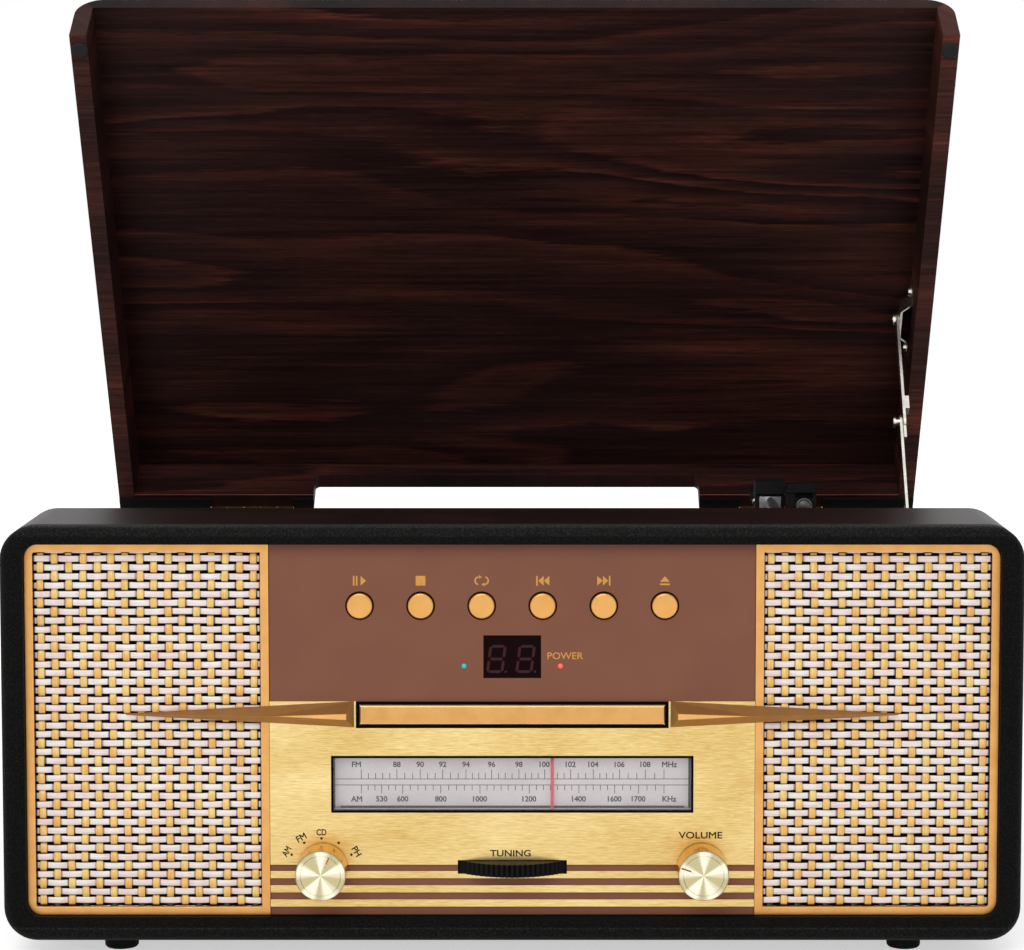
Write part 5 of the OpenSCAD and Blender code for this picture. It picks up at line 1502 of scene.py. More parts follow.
class Side(Enum):
    """Side of the front that a grille is on, as seen by the listener."""

    LEFT = -1
    RIGHT = 1


@dataclass
class Grilles:
    """The two woven grilles: upright gold strips crossed by level pearly ones, over black cloth.

    Distances are from the middle of the front outwards, so that the two sides mirror each other.
    A strip carries painted shade, down to its hidden tone, between the two depths of its shade,
    where it dives under another, and at its ends, as the frame's painted shadow. It drifts aside
    a little, as by hand.
    """

    outer_column: float = 221.4
    column_pitch: float = 6.667
    top_row: float = 189.35
    row_pitch: float = 4.167
    columns: int = 16
    rows: int = 42
    gold_size: Pair = (3.0, 0.6)
    gold_lift: float = 0.56
    gold_swell: float = 0.16
    pale_size: Pair = (2.8, 0.45)
    pale_lift: float = 0.34
    gold_shade: Pair = (0.45, 0.2)
    pale_shade: Pair = (-0.9, -0.72)
    deepest_painted_shade: float = 0.02
    end_fade: Pair = (2.6, 3.0)
    corner_share: float = 0.42
    wander: float = 0.55
    pale_wander: float = 0.6
    drift_scale: float = 30.0
    lane_step: float = 3.7
    seeds: Pair = (11.0, 47.0)
    mid_depth: float = 6.75
    gold_steps: int = 5
    pale_steps: int = 9
    scrim_depth: float = 7.9
    scrim_sag: float = 0.5
    scrim_cells: tuple[int, int] = (24, 36)
    layout: Layout = field(init=False)

    def __post_init__(self) -> None:
        """Make the tree that weaves one grille."""
        strands = self.strand_set()
        names = ("Gold", "Pale")
        self.layout = Layout("grille_weave", {
            f"{name} {what}": kind for name in names for what, kind in strands.sockets.items()})
        tree = self.layout.tree
        sets = [
            add(tree, "GeometryNodeGroup", {
                what: self.layout.get(f"{name} {what}") for what in strands.sockets},
                node_tree=strands.tree)
            for name in names]
        weave = add(tree, "GeometryNodeJoinGeometry", {"Geometry": sets})
        self.layout.close(weave, None)

    def strand_set(self) -> Layout:
        """Make the tree that lays one set of strands over and under the other.

        Returns:
            The tree, whose strands lie side by side and bend in depth at every crossing.
        """
        layout = Layout("strand_set", {
            "Count": "Int", "Samples": "Int", "First": "Vector", "Step": "Vector", "Run": "Vector",
            "Crossing Pitch": "Float", "First Crossing": "Float", "Lift": "Float", "Width": "Float",
            "Thickness": "Float", "Swell": "Float", "Shade Low": "Float", "Shade High": "Float",
            "Wander": "Vector", "Seed": "Float", "Material": "Material"})
        tree, get = layout.tree, layout.get
        line = add(tree, "GeometryNodeCurvePrimitiveLine", {"End": get("Run")})
        fine = add(tree, "GeometryNodeResampleCurve", {"Curve": line, "Count": get("Samples")})
        length = add(tree, "GeometryNodeSplineParameter").outputs["Length"]
        marked = add(tree, "GeometryNodeStoreNamedAttribute", {
            "Geometry": fine, "Name": "reach", "Value": length}, data_type="FLOAT", domain="POINT")
        row = add(tree, "GeometryNodeMeshLine", {
            "Count": get("Count"), "Start Location": get("First"), "Offset": get("Step")})
        numbered = add(tree, "GeometryNodeStoreNamedAttribute", {
            "Geometry": row, "Name": "strand", "Value": add(tree, "GeometryNodeInputIndex")},
            data_type="FLOAT", domain="POINT")
        copies = add(tree, "GeometryNodeInstanceOnPoints", {"Points": numbered, "Instance": marked})
        lines = add(tree, "GeometryNodeRealizeInstances", {"Geometry": copies})
        reach, strand = (
            add(tree, "GeometryNodeInputNamedAttribute", {"Name": name}, data_type="FLOAT")
            for name in ("reach", "strand"))
        crossed = add(tree, "ShaderNodeMath", {0: reach, 1: get("Crossing Pitch")}, operation="DIVIDE")
        counted = add(tree, "ShaderNodeMath", {0: crossed, 1: strand}, operation="ADD")
        phase = add(tree, "ShaderNodeMath", {0: counted, 1: get("First Crossing")}, operation="ADD")
        angle = add(tree, "ShaderNodeMath", {0: phase, 1: math.pi}, operation="MULTIPLY")
        wave = add(tree, "ShaderNodeMath", {0: angle}, operation="COSINE")
        square = add(tree, "ShaderNodeMath", {0: wave, 1: wave}, operation="MULTIPLY")
        flat = add(tree, "ShaderNodeMath", {0: square, 1: -0.5, 2: 1.5}, operation="MULTIPLY_ADD")
        bend = add(tree, "ShaderNodeMath", {0: wave, 1: flat}, operation="MULTIPLY")
        depth = add(tree, "ShaderNodeCombineXYZ", {
            "Y": add(tree, "ShaderNodeMath", {0: bend, 1: get("Lift")}, operation="MULTIPLY")})
        lane = add(tree, "ShaderNodeMath", {
            0: strand, 1: self.lane_step, 2: get("Seed")}, operation="MULTIPLY_ADD")
        drift = add(tree, "ShaderNodeTexNoise", {
            "Vector": add(tree, "GeometryNodeInputPosition"), "W": lane, "Scale": self.drift_scale,
            "Detail": 1.0}, noise_dimensions="4D")
        swing = add(tree, "ShaderNodeMapRange", {
            "Value": drift, "From Min": 0.25, "From Max": 0.75, "To Min": -1.0, "To Max": 1.0})
        aside = add(tree, "ShaderNodeVectorMath", {0: get("Wander"), "Scale": swing}, operation="SCALE")
        offset = add(tree, "ShaderNodeVectorMath", {0: depth, 1: aside}, operation="ADD")
        bent = add(tree, "GeometryNodeSetPosition", {"Geometry": lines, "Offset": offset})
        # Painted shade where the strip dives under a crossing one, and at its ends by the frame.
        sunk = add(tree, "ShaderNodeMapRange", {
            "Value": bend, "From Min": get("Shade Low"), "From Max": get("Shade High"),
            "To Min": self.deepest_painted_shade, "To Max": 1.0})
        whole = add(tree, "ShaderNodeVectorMath", {0: get("Run")}, operation="LENGTH").outputs["Value"]
        rest = add(tree, "ShaderNodeMath", {0: whole, 1: reach}, operation="SUBTRACT")
        nearer = add(tree, "ShaderNodeMath", {0: reach, 1: rest}, operation="MINIMUM")
        dark, clear = self.end_fade
        ends = add(tree, "ShaderNodeMapRange", {
            "Value": nearer, "From Min": dark * MM, "From Max": clear * MM,
            "To Min": self.deepest_painted_shade, "To Max": 1.0})
        shade = add(tree, "ShaderNodeMath", {0: sunk, 1: ends}, operation="MINIMUM")
        shaded = add(tree, "GeometryNodeStoreNamedAttribute", {
            "Geometry": bent, "Name": "shade", "Value": shade}, data_type="FLOAT", domain="POINT")
        faced = add(tree, "GeometryNodeSetCurveNormal", {"Curve": shaded, "Normal": (0.0, -1.0, 0.0)},
                    mode="FREE")
        section = add(tree, "GeometryNodeCurvePrimitiveQuadrilateral", {
            "Width": get("Thickness"), "Height": get("Width")}, mode="RECTANGLE")
        corner = add(tree, "ShaderNodeMath", {
            0: get("Thickness"), 1: self.corner_share}, operation="MULTIPLY")
        profile = add(tree, "GeometryNodeFilletCurve", {
            "Curve": section, "Count": 1, "Radius": corner}, mode="POLY")
        half_swell = add(tree, "ShaderNodeMath", {0: get("Swell"), 1: -0.5}, operation="MULTIPLY")
        swell = add(tree, "ShaderNodeMath", {0: bend, 1: half_swell, 2: 1.0}, operation="MULTIPLY_ADD")
        tubes = add(tree, "GeometryNodeCurveToMesh", {
            "Curve": faced, "Profile Curve": profile, "Scale": swell, "Fill Caps": True})
        smooth = add(tree, "GeometryNodeSetShadeSmooth", {"Geometry": tubes, "Shade Smooth": True})
        painted = add(tree, "GeometryNodeSetMaterial", {"Geometry": smooth, "Material": get("Material")})
        layout.close(painted, None)
        return layout

    def build(self) -> None:
        """Finish the frames and weave both grilles."""
        wear(GOLD_FRAME, "left_grille_frame", "right_grille_frame")
        wear(GOLD_WING, "left_wing", "right_wing")
        wear(BLACK_BOARD, "speaker_baffle")
        for side in Side:
            self.build_weave(side)
            self.build_scrim(side)

    def build_weave(self, side: Side) -> None:
        """Weave the grille of one side.

        Args:
            side: The side.
        """
        name = side.name.lower()
        low, high = (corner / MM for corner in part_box(f"{name}_grille_cloth"))
        sign = side.value
        inner, outer = sorted((abs(low.x), abs(high.x)))
        depth = self.mid_depth + FRONT_Y
        first_row = self.top_row + self.row_pitch
        gold = {
            "Count": self.columns, "Samples": self.rows * self.gold_steps + 1,
            "First": Vector((sign * self.outer_column, depth, high.z)) * MM,
            "Step": Vector((-sign * self.column_pitch, 0.0, 0.0)) * MM,
            "Run": Vector((0.0, 0.0, low.z - high.z)) * MM, "Crossing_Pitch": self.row_pitch * MM,
            "First_Crossing": (self.top_row - high.z) / self.row_pitch, "Lift": self.gold_lift * MM,
            "Width": self.gold_size[0] * MM, "Thickness": self.gold_size[1] * MM,
            "Swell": self.gold_swell, "Shade_Low": self.gold_shade[0],
            "Shade_High": self.gold_shade[1], "Wander": Vector((self.wander, 0.0, 0.0)) * MM,
            "Seed": self.seeds[0] + sign, "Material": GOLD_THREAD.material()}
        pale = {
            "Count": self.rows, "Samples": self.columns * self.pale_steps + 1,
            "First": Vector((sign * outer, depth, first_row)) * MM,
            "Step": Vector((0.0, 0.0, -self.row_pitch)) * MM,
            "Run": Vector((sign * (inner - outer), 0.0, 0.0)) * MM,
            "Crossing_Pitch": self.column_pitch * MM,
            "First_Crossing": (self.outer_column - outer) / self.column_pitch - 1.0,
            "Lift": -self.pale_lift * MM, "Width": self.pale_size[0] * MM,
            "Thickness": self.pale_size[1] * MM, "Swell": 0.0, "Shade_Low": self.pale_shade[0],
            "Shade_High": self.pale_shade[1],
            "Wander": Vector((0.0, 0.0, self.wander * self.pale_wander)) * MM,
            "Seed": self.seeds[1] + sign, "Material": PALE_STRIP.material()}
        values = {f"Gold_{what}": value for what, value in gold.items()}
        values |= {f"Pale_{what}": value for what, value in pale.items()}
        piece = self.layout.run(f"{name}_grille_weave", point_cloud([(0.0, 0.0, 0.0)]), **values)
        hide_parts(f"{name}_grille_cloth")
        place_piece(piece, "cabinet")

    def build_scrim(self, side: Side) -> None:
        """Stretch the black cloth behind one weave, drawn in a little between its edges.

        Args:
            side: The side.
        """
        name = side.name.lower()
        low, high = (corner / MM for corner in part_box(f"{name}_grille_cloth"))
        cloth = bmesh.new()
        across, upward = self.scrim_cells
        bmesh.ops.create_grid(cloth, x_segments=across, y_segments=upward, size=0.5)
        for vert in cloth.verts:
            u, v = vert.co.x + 0.5, vert.co.y + 0.5
            sag = self.scrim_sag * math.sin(math.pi * u) * math.sin(math.pi * v)
            vert.co = Vector((low.x + u * (high.x - low.x), FRONT_Y + self.scrim_depth + sag,
                              low.z + v * (high.z - low.z))) * MM
        cloth.normal_update()
        for face in cloth.faces:
            face.smooth = True
            if face.normal.y > 0:
                face.normal_flip()
        mesh = bpy.data.meshes.new("scrim")
        cloth.to_mesh(mesh)
        cloth.free()
        scrim = gather(f"{name}_acoustic_cloth", [mesh])
        place_piece(scrim, "cabinet", ACOUSTIC_CLOTH)


@dataclass(frozen=True)
class Fascia:
    """Centre of the front: brown panel with its symbols and lamps, brushed plate with its words.

    A digit has its height, width and pitch, its middle's offset in the window, its slant and a
    point with its radius and gap. A lamp lens is a cup with a wall and a depth, under a dome.
    """

    film: float = 0.06
    symbol_z: float = 179.2
    symbol_half: float = 2.3
    button_pitch: float = 28.6
    lamp_x: float = 22.6
    lamp_z: float = 138.9
    lamp_radius: float = 1.3
    legend_radius: float = 19.5
    dot_radius: float = 16.6
    dot_size: float = 0.62
    legend_centre: Pair = (-89.9, 40.4)
    legend: tuple[tuple[str, float], ...] = (
        ("AM", -58.0), ("FM", -29.3), ("CD", 0.0), ("", 29.3), ("PH", 58.0))
    digit_height: float = 13.3
    digit_width: float = 7.4
    digit_gap: float = 13.7
    segment: float = 1.3
    digit_offset: Pair = (-0.6, -1.1)
    digit_slant: float = 0.13
    digit_point: Pair = (0.6, 1.5)
    lamp_wall: float = 0.25
    lamp_depth: float = 1.8
    lamp_stand: float = 0.1
    lamp_dome: float = 0.5

    @property
    def panel_y(self) -> float:
        """Depth of the brown panel's face behind the front plane."""
        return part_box("fascia_panel")[0].y / MM - FRONT_Y

    @property
    def plate_y(self) -> float:
        """Depth of the brushed plate's face behind the front plane."""
        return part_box("gold_plate")[0].y / MM - FRONT_Y

    def build(self) -> None:
        """Finish the front's centre and print on it."""
        wear(BROWN_ENAMEL, "fascia_panel")
        wear(BRUSHED_GOLD, "gold_plate")
        wear(BEZEL_BLACK, "fascia_bezels")
        wear(SMOKED_RED, "display_window")
        self.build_symbols()
        self.build_words()
        self.build_digits()
        self.build_lamps()

    def symbols(self) -> list[list[Outline]]:
        """Draw the six key symbols about their own middles.

        Returns:
            For play, stop, repeat, previous, next and eject, the outlines in millimetres.
        """
        h = self.symbol_half
        bars = [[(x, -h), (x + 0.75, -h), (x + 0.75, h), (x, h)] for x in (-3.1, -1.7)]
        play = [*bars, [(0.5, -h), (3.1, 0.0), (0.5, h)]]
        stop = [[(-h, -h), (h, -h), (h, h), (-h, h)]]
        skip = [
            [(0.45, -h), (0.45, h), (-2.1, 0.0)], [(3.1, -h), (3.1, h), (0.55, 0.0)],
            [(-3.1, -h), (-2.35, -h), (-2.35, h), (-3.1, h)]]
        mirrored = [[(-x, y) for x, y in reversed(outline)] for outline in skip]
        eject = [[(-h, -0.5), (h, -0.5), (0.0, 2.1)], [(-h, -2.1), (h, -2.1), (h, -1.3), (-h, -1.3)]]
        return [play, stop, self.repeat_symbol(), skip, mirrored, eject]

    @staticmethod
    def repeat_symbol() -> list[Outline]:
        """Draw two bent arrows that chase each other round a flat loop.

        Returns:
            Their outlines in millimetres.
        """
        outer, inner, reach, steps = 2.1, 1.4, 1.35, 10
        angles = [math.radians(100 + 160 * i / steps) for i in range(steps + 1)]
        bend = [(-reach + outer * math.cos(a), outer * math.sin(a)) for a in angles]
        bend += [(-reach + inner * math.cos(a), inner * math.sin(a)) for a in reversed(angles)]
        tip = -reach + 1.5
        arrow = [(tip - 1.5, 0.9), (tip, 1.75), (tip - 1.5, 2.7)]
        half = [bend, arrow]
        return half + [[(-x, -y) for x, y in outline] for outline in half]

    def build_symbols(self) -> None:
        """Print the key symbols and the word by the lamp in gold."""
        y = self.panel_y
        middle = (len(self.symbols()) - 1) / 2
        parts = [
            cut_out(outlines, self.film, standing((i - middle) * self.button_pitch, y, self.symbol_z))
            for i, outlines in enumerate(self.symbols())]
        power = Word("POWER", 24.9, 143.7, 3.3, width=16.8, weight=0.008)
        parts.append(power.mesh(standing(power.x, y, power.z)))
        place_piece(gather("panel_symbols", parts), "cabinet", GOLD_INK)

    def build_words(self) -> None:
        """Print the black words and dots on the brushed plate."""
        y = self.plate_y
        words = [Word("VOLUME", 88.6, 58.5, 3.3, width=20.6, weight=0.018),
                 Word("TUNING", -0.9, 49.9, 3.2, width=19.2, weight=0.018)]
        parts = [word.mesh(standing(word.x, y, word.z)) for word in words]
        for text, angle in self.legend:
            x, z = math.sin(math.radians(angle)), math.cos(math.radians(angle))
            middle_x, middle_z = self.legend_centre
            parts.append(cut_out([circle_points(self.dot_size)], self.film, standing(
                middle_x + x * self.dot_radius, y, middle_z + z * self.dot_radius)))
            if text:
                word = Word(text, 0.0, 0.0, 3.1, width=4.7, weight=0.024)
                parts.append(word.mesh(standing(
                    middle_x + x * self.legend_radius, y, middle_z + z * self.legend_radius, angle)))
        place_piece(gather("plate_lettering", parts), "cabinet", BLACK_INK)

    def build_digits(self) -> None:
        """Lay the two unlit digits of the track display, leaning as such digits do."""
        low, high = (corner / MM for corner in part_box("display_window"))
        shift, rise = self.digit_offset
        middle_z = (low.z + high.z) / 2 + rise
        w, h, t = self.digit_width / 2, self.digit_height / 4, self.segment / 2
        level = [(-w + t, 0.0), (-w + 2 * t, t), (w - 2 * t, t),
                 (w - t, 0.0), (w - 2 * t, -t), (-w + 2 * t, -t)]
        upright = [(0.0, -h + t), (t, -h + 2 * t), (t, h - 2 * t),
                   (0.0, h - t), (-t, h - 2 * t), (-t, -h + 2 * t)]
        shapes = [[(x, y + k * 2 * (h - t / 2)) for x, y in level] for k in (-1, 0, 1)]
        shapes += [
            [(x + side * (w - t / 2), y + k * h) for x, y in upright] for side in (-1, 1) for k in (-1, 1)]
        radius, gap = self.digit_point
        shapes.append(circle_points(radius, 12, w + gap, -2 * h + t))
        parts = []
        for offset in (-1, 1):
            place = standing(shift + offset * self.digit_gap / 2, low.y - FRONT_Y, middle_z)
            slanted = [[(x + self.digit_slant * y, y) for x, y in shape] for shape in shapes]
            parts.append(cut_out(slanted, self.film, place))
        place_piece(gather("display_digits", parts), "cabinet", SEGMENT_RED)

    def build_lamps(self) -> None:
        """Set a domed lens in each lamp hole."""
        outer, inner = self.lamp_radius, self.lamp_radius - self.lamp_wall
        turns = [math.radians(angle) for angle in range(0, 91, 15)]
        dome = [(outer * math.sin(turn), self.lamp_dome * outer * math.cos(turn)) for turn in turns]
        profile = [*dome, (outer, -self.lamp_stand), (inner, -self.lamp_stand),
                   (inner, -self.lamp_depth), (0.0, -self.lamp_depth)]
        lamps = (("source_lamp_lens", -1, TEAL_LENS), ("power_lamp_lens", 1, RED_LENS))
        for name, side, finish in lamps:
            place = standing(side * self.lamp_x, self.panel_y - self.lamp_stand, self.lamp_z)
            place_piece(gather(name, [lathe(profile, place, 20)]), "cabinet", finish)


@dataclass
class TuningDial:
    """Dial with two printed scales, its pointer and lens, and the wheel that moves the pointer.

    A scale is a list of marks: place, name and the number of short marks before the next. The
    printed face lies in front of the rail's posts, face_y behind the front plane.
    """

    fm: tuple[tuple[float, str, int], ...] = (
        (-71.3, "", 4), (-54.5, "88", 2), (-43.5, "90", 2), (-32.9, "92", 2), (-21.9, "94", 3),
        (-9.8, "96", 3), (3.1, "98", 3), (15.2, "100", 3), (27.5, "102", 2), (38.2, "104", 3),
        (50.6, "106", 2), (62.8, "108", 1), (71.6, "", 0))
    am: tuple[tuple[float, str, int], ...] = (
        (-71.3, "", 2), (-61.7, "530", 2), (-51.8, "600", 4), (-33.8, "800", 4), (-15.3, "1000", 6),
        (8.0, "1200", 6), (31.4, "1400", 4), (48.3, "1600", 2), (59.6, "1700", 2), (71.6, "", 0))
    face_y: float = 9.5
    fm_line: float = 84.4
    am_line: float = 81.2
    long_mark: float = 4.4
    short_mark: float = 2.7
    am_share: float = 0.88
    mark_width: float = 0.32
    line_inset: float = 0.3
    film: float = 0.05
    name_height: float = 2.75
    fm_names: float = 91.2
    am_names: float = 74.7
    ends: Pair = (-73.6, 74.2)
    black_ends: tuple[Pair, ...] = ((-84.15, 0.5), (83.05, 1.1))
    face_low: float = 70.4
    face_high: float = 95.2
    skirt_z: float = 70.36
    skirt_depths: Pair = (6.8, 9.45)

    def build(self) -> None:
        """Finish the dial and print its scales."""
        wear(DIAL_SILVER, "dial_plate")
        wear(CLEAR_LENS, "dial_window")
        wear(POINTER_RED, "dial_pointer")
        wear(BLACK_PLASTIC, "tuning_wheel")
        self.build_marks()
        self.build_surround()
        self.build_names()

    @staticmethod
    def mark_layout() -> Layout:
        """Make the tree that stands one thin mark on every point, as long as its reach says.

        Returns:
            The tree.
        """
        layout = Layout("scale_marks", {"Width": "Float", "Film": "Float", "Material": "Material"})
        tree, get = layout.tree, layout.get
        bar = add(tree, "GeometryNodeMeshCube", {"Size": (1.0, 1.0, 1.0)})
        raised = add(tree, "GeometryNodeTransform", {"Geometry": bar, "Translation": (0.0, 0.0, 0.5)})
        reach = add(tree, "GeometryNodeInputNamedAttribute", {"Name": "reach"}, data_type="FLOAT")
        size = add(tree, "ShaderNodeCombineXYZ", {"X": get("Width"), "Y": get("Film"), "Z": reach})
        marks = add(tree, "GeometryNodeInstanceOnPoints", {
            "Points": get("Geometry"), "Instance": raised, "Scale": size})
        layout.close(marks)
        return layout

    def marks(self, scale: Sequence[tuple[float, str, int]], base: float,
              up: float) -> list[tuple[Triple, float]]:
        """Lay out the marks of one scale.

        Args:
            scale: The scale's places, names and counts.
            base: Height of its base line.
            up: 1 where the marks rise from it, or minus the share that they reach below it.

        Returns:
            For each mark, its foot in metres and its length in metres.
        """
        found = []
        for i, (place, _, shorts) in enumerate(scale):
            following = scale[min(i + 1, len(scale) - 1)][0]
            for k in range(shorts + 1):
                x = place + (following - place) * k / (shorts + 1)
                reach = (self.short_mark if k else self.long_mark) * abs(up)
                foot = base if up > 0 else base - reach
                found.append(((x * MM, (self.face_y + FRONT_Y) * MM, foot * MM), reach * MM))
        return found

    def build_marks(self) -> None:
        """Print both rows of marks and the two base lines."""
        marks = self.marks(self.fm, self.fm_line, 1.0) + self.marks(self.am, self.am_line, -self.am_share)
        piece = self.mark_layout().run(
            "dial_marks", point_cloud([foot for foot, _ in marks], reach=[reach for _, reach in marks]),
            Width=self.mark_width * MM, Film=self.film * MM, Material=GREY_INK.material())
        place_piece(piece, "cabinet")
        low, high = (corner.x / MM + inset for corner, inset in zip(
            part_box("dial_plate"), (self.line_inset, -self.line_inset)))
        half = self.mark_width / 2
        lines = [
            [(low, z - half), (high, z - half), (high, z + half), (low, z + half)]
            for z in (self.fm_line - half, self.am_line + half)]
        place = standing(0.0, self.face_y, 0.0)
        place_piece(gather("dial_base_lines", [cut_out(lines, self.film, place)]), "cabinet",
                    GREY_INK)

    def build_surround(self) -> None:
        """Lay thin black strips at the two ends of the dial's face and turn its silver sheet forward along
        the lower edge.
        """
        low, high = self.face_low, self.face_high
        ends = [
            [(edge, low), (edge + width, low), (edge + width, high), (edge, high)]
            for edge, width in self.black_ends]
        place = standing(0.0, self.face_y, 0.0)
        place_piece(gather("dial_black_ends", [cut_out(ends, 2 * self.film, place)]), "cabinet",
                    BEZEL_BLACK)
        left, right = self.black_ends[0][0], sum(self.black_ends[1])
        front, back = self.skirt_depths
        skirt = [(left, front), (right, front), (right, back), (left, back)]
        sheet = cut_out([skirt], 2 * self.film, lying(0.0, 0.0, self.skirt_z))
        place_piece(gather("dial_skirt", [sheet]), "cabinet", DIAL_SILVER)

    def build_names(self) -> None:
        """Print the numbers and the names of the two wave bands."""
        rows = (("FM", self.fm, "MHz", self.fm_names), ("AM", self.am, "KHz", self.am_names))
        parts = []
        for band, scale, unit, z in rows:
            names = [(name, x) for x, name, _ in scale if name]
            named = [(band, self.ends[0]), *names, (unit, self.ends[1])]
            for text, x in named:
                word = Word(text, x, z, self.name_height, weight=0.028)
                parts.append(word.mesh(standing(x, self.face_y, z)))
        place_piece(gather("dial_numbers", parts), "cabinet", GREY_INK)


@dataclass(frozen=True)
class Controls:
    """Turned knobs and plated push buttons, with what they turn and press."""

    knob_z: float = 43.0
    knob_x: float = 89.3
    buttons: tuple[str, ...] = ("play", "stop", "repeat", "previous", "next", "eject")
    button_pitch: float = 28.6
    button_z: float = 167.41
    ring: Pair = (6.12, 6.75)
    film: float = 0.06
    face_y: float = -12.5
    mark_width: float = 0.55
    mark_reach: Pair = (6.2, 10.9)
    mark_turns: ClassVar[dict[str, float]] = {"selector": 25.0, "volume": -71.0}

    def build(self) -> None:
        """Finish the controls."""
        for name, side in (("selector", -1), ("volume", 1)):
            centre = (side * self.knob_x, 0.0, self.knob_z)
            spun = SpunMetal(f"spun_{name}_knob", centre, (0.0, 1.0, 0.0), "#f3eed8", "#bfb58c")
            wear(spun, f"{name}_knob")
            self.build_mark(name, side)
        wear(ZINC, "knob_controls")
        wear(GOLD_BUTTON, *(f"{name}_button" for name in self.buttons))
        self.build_rings()

    def build_mark(self, name: str, side: int) -> None:
        """Draw the red pointer line on a knob's face.

        Args:
            name: The knob's body.
            side: -1 for the left knob and 1 for the right one.
        """
        inner, outer = self.mark_reach
        half = self.mark_width / 2
        line = [(-half, inner), (half, inner), (half, outer), (-half, outer)]
        place = standing(side * self.knob_x, self.face_y, self.knob_z, self.mark_turns[name])
        mark = gather(f"{name}_mark", [cut_out([line], self.film, place)])
        place_piece(mark, name, RED_INK)

    def build_rings(self) -> None:
        """Lay the thin black ring in which each button stands."""
        inner, outer = self.ring
        profile = [(inner, 0.0), (outer, 0.0), (outer, self.film), (inner, self.film), (inner, 0.0)]
        middle = (len(self.buttons) - 1) / 2
        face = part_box("fascia_panel")[0].y / MM - FRONT_Y
        rings = [
            lathe(profile, standing((i - middle) * self.button_pitch, face, self.button_z), 40)
            for i in range(len(self.buttons))]
        place_piece(gather("button_rings", rings), "cabinet", BEZEL_BLACK)


@dataclass(frozen=True)
class DiscPlayer:
    """Disc drawer with its gold front, tray, hub and mechanism."""

    def build(self) -> None:
        """Finish the disc player."""
        wear(GOLD_DOOR, "cd_door")
        wear(BLACK_PLASTIC, "cd_tray", "cd_hub")
        wear(ZINC, "cd_mechanism")


@dataclass(frozen=True)
class RecordDeck:
    """Record deck: plate, platter with its mat, belt drive, tone arm and levers."""

    speed_x: float = 200.5
    speeds: tuple[tuple[str, float], ...] = (("33", 111.0), ("45", 118.0), ("78", 125.0))
    name_height: float = 3.0
    weight_y: float = 336.0
    cap: Triple = (4.6, 0.8, 3.4)
    cap_cuts: Triple = (0.3, 0.4, 0.25)
    cap_place: Triple = (164.2, 302.0, 180.2)
    pivot_screw: Pair = (2.2, 1.0)
    cheek_inset: float = 4.6

    def build(self) -> None:
        """Finish the deck and print its speeds."""
        low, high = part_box("platter_mat")
        middle = tuple((low + high) / 2 / MM)
        wear(DECK_PLASTIC, "deck_plate", "tonearm_base", "tonearm_rest", "tonearm_yoke")
        wear(BLACK_PLASTIC, "cue_lever")
        wear(TurnedRings("turned_cast_platter", middle, "#b4b6b8", "#8f9194", 1.0, 0.32), "platter")
        wear(TurnedRings("ribbed_rubber_mat", middle, "#1a1a1a", "#0c0c0c", 0.0, 0.75, 2.6, 0.25, 0.2),
             "platter_mat")
        wear(ZINC, "platter_motor")
        wear(TURNED_BRASS, "motor_pulley")
        wear(RUBBER, "drive_belt")
        wear(SATIN_ALUMINIUM, "speed_lever")
        wear(WeightedArm("satin_tube_black_weight", self.weight_y + FRONT_Y), "tonearm")
        wear(RED_SHELL, "cartridge")
        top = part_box("tonearm_rest")[0].z / MM
        parts = [
            Word(text, self.speed_x, 0.0, self.name_height).mesh(lying(self.speed_x, y, top))
            for text, y in self.speeds]
        place_piece(gather("speed_numbers", parts), "cabinet", PALE_INK)
        self.build_caps()

    def build_caps(self) -> None:
        """Fit the metal cap on the arm lift and the pivot screw in the yoke's cheek."""
        radius, thick, groove = self.cap
        bevel, wide, deep = self.cap_cuts
        rim = [(0.0, 0.0), (radius, 0.0), (radius, thick - bevel), (radius - bevel, thick),
               (groove, thick), (groove - wide / 2, thick - deep), (groove - wide, thick), (0.0, thick)]
        cap = gather("arm_lift_cap", [lathe(rim, standing(*self.cap_place))])
        place_piece(cap, "cabinet", DULL_ZINC)
        radius, height = self.pivot_screw
        shares = ((0.0, -0.1), (1.0, -0.1), (1.0, 0.3), (0.8, 0.8), (0.4, 1.0), (0.0, 1.0))
        dome = [(across * radius, up * height) for across, up in shares]
        pivot = next(joint for joint in frame["joints"] if joint["name"] == "tonearm_lift")
        seat = Vector((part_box("tonearm_yoke")[0].x + self.cheek_inset * MM, *pivot["pos_m"][1:]))
        sideways = Matrix.Translation(seat) @ Matrix.Rotation(-math.pi / 2, 4, "Y") @ Matrix.Scale(MM, 4)
        screw = gather("arm_pivot_screw", [lathe(dome, sideways, 20)])
        place_piece(screw, "arm_yoke", NICKEL)


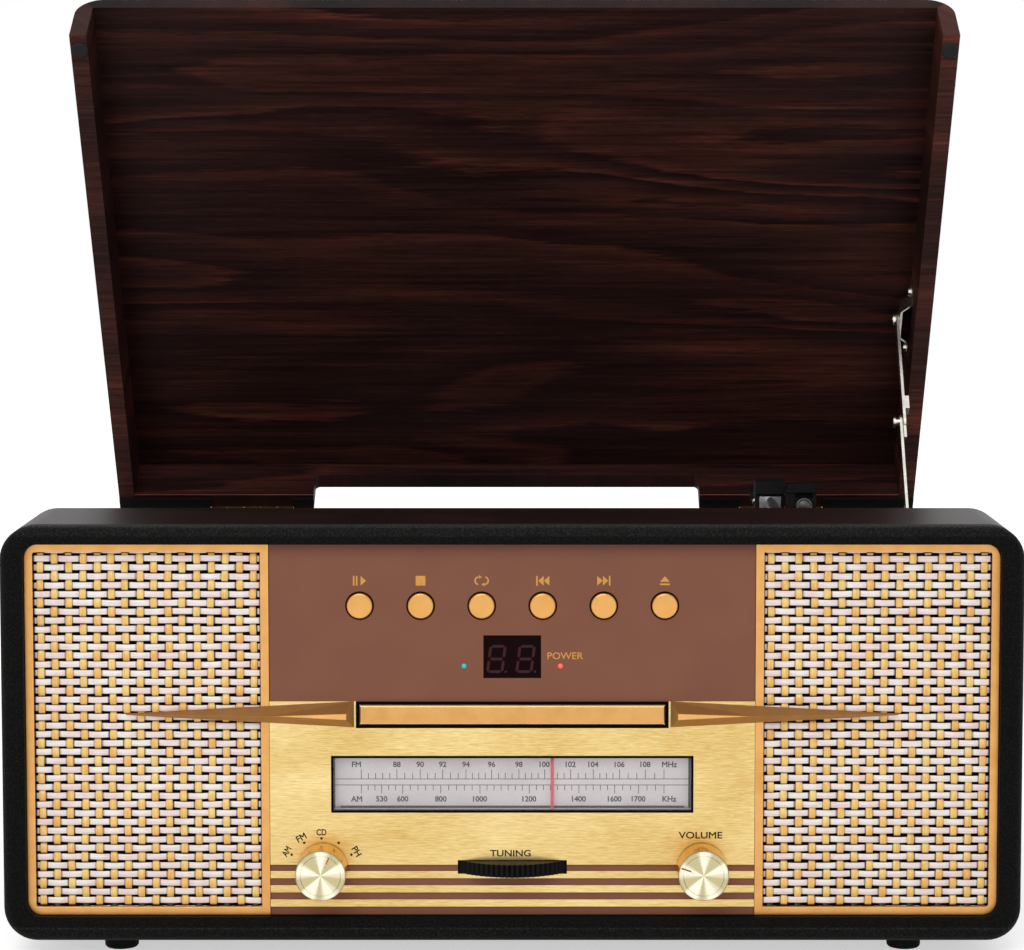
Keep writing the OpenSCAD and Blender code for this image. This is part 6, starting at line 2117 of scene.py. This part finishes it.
@dataclass(frozen=True)
class Lid:
    """Wooden lid with its bumpers, hinges and folding stay."""

    hinge_x: float = 160.0
    leaf_holes: Triple = (-17.0, 0.0, 17.0)
    hole_reach: float = 13.0
    leaf_face: float = 1.0
    shade_sheet_runs: tuple[Pair, ...] = ((-239.9, -185.1), (-134.9, -122.6), (110.6, 134.9), (185.1, 239.9))
    shade_sheet_width: Pair = (-9.0, -1.0)
    shade_sheet_thick: float = 1.2
    shade_sheet_up: float = 0.1

    def build(self, screws: Screws) -> None:
        """Finish the lid and fit its hinge screws.

        Args:
            screws: The screws' layout.
        """
        wear(Wood.lid_top, "lid_panel")
        wear(Wood.lid_side, "lid_side_walls")
        wear(Wood.lid_rear, "lid_rear_wall")
        wear(BUMPER_RUBBER, "lid_bumpers")
        wear(BRASS_PLATE, "hinge_base_leaves", "hinge_lid_leaves")
        wear(NICKEL, "stay_lid_bracket", "stay_upper_arm", "stay_lower_arm", "stay_base_bracket")
        places = [side * self.hinge_x + hole for side in (-1, 1) for hole in self.leaf_holes]
        for name, body, outward, along in (
                ("hinge_base_screws", "cabinet", Vector((0, 1, 0)), Vector((0, 0, -1))),
                ("hinge_lid_screws", "lid", Wood.back, Wood.up)):
            seat = Wood.hinge + (along * self.hole_reach - outward * self.leaf_face) * MM
            points = [seat + Vector((x * MM, 0, 0)) for x in places]
            screws.drive(name, points, outward, BRASS_PLATE, body, scale=0.75)
        self.build_shade_sheet()

    def build_shade_sheet(self) -> None:
        """Lay black strips under the rear wall, beside the hinges, as painted shade in the gap where no
        light comes through.
        """
        front, back = self.shade_sheet_width
        axes = Matrix((Vector((1.0, 0.0, 0.0)), Wood.back, Wood.up)).transposed().to_4x4()
        place = Matrix.Translation(Wood.hinge) @ axes @ Matrix.Scale(MM, 4)
        strips = [
            [(left, front), (right, front), (right, back), (left, back)] for left, right in self.shade_sheet_runs]
        # Painted shade: black strips in the hinge gap.
        shade_sheet = gather("lid_rear_shade_sheet", [
            cut_out(strips, self.shade_sheet_thick, place @ Matrix.Translation((0.0, 0.0, self.shade_sheet_up)))])
        place_piece(shade_sheet, "lid", SHADE_SHEET)


@dataclass(frozen=True)
class Inside:
    """What the closed cabinet holds: speakers, boards and the mains transformer."""

    def build(self) -> None:
        """Finish the inner parts."""
        wear(ZINC, "speaker_units")
        wear(PAPER_CONE, "speaker_cones")
        wear(GREEN_BOARD, "circuit_boards")
        wear(CORE_IRON, "power_transformer")


def main() -> None:
    """Build the music centre and the studio round it."""
    logging.basicConfig(level=logging.INFO, format="%(name)s: %(message)s")
    PhotoCamera().build()
    Studio().build()
    screws = Screws()
    Cabinet().build(screws)
    Grilles().build()
    Fascia().build()
    TuningDial().build()
    Controls().build()
    DiscPlayer().build()
    RecordDeck().build()
    Lid().build(screws)
    Inside().build()


if __name__ == "__main__":
    main()
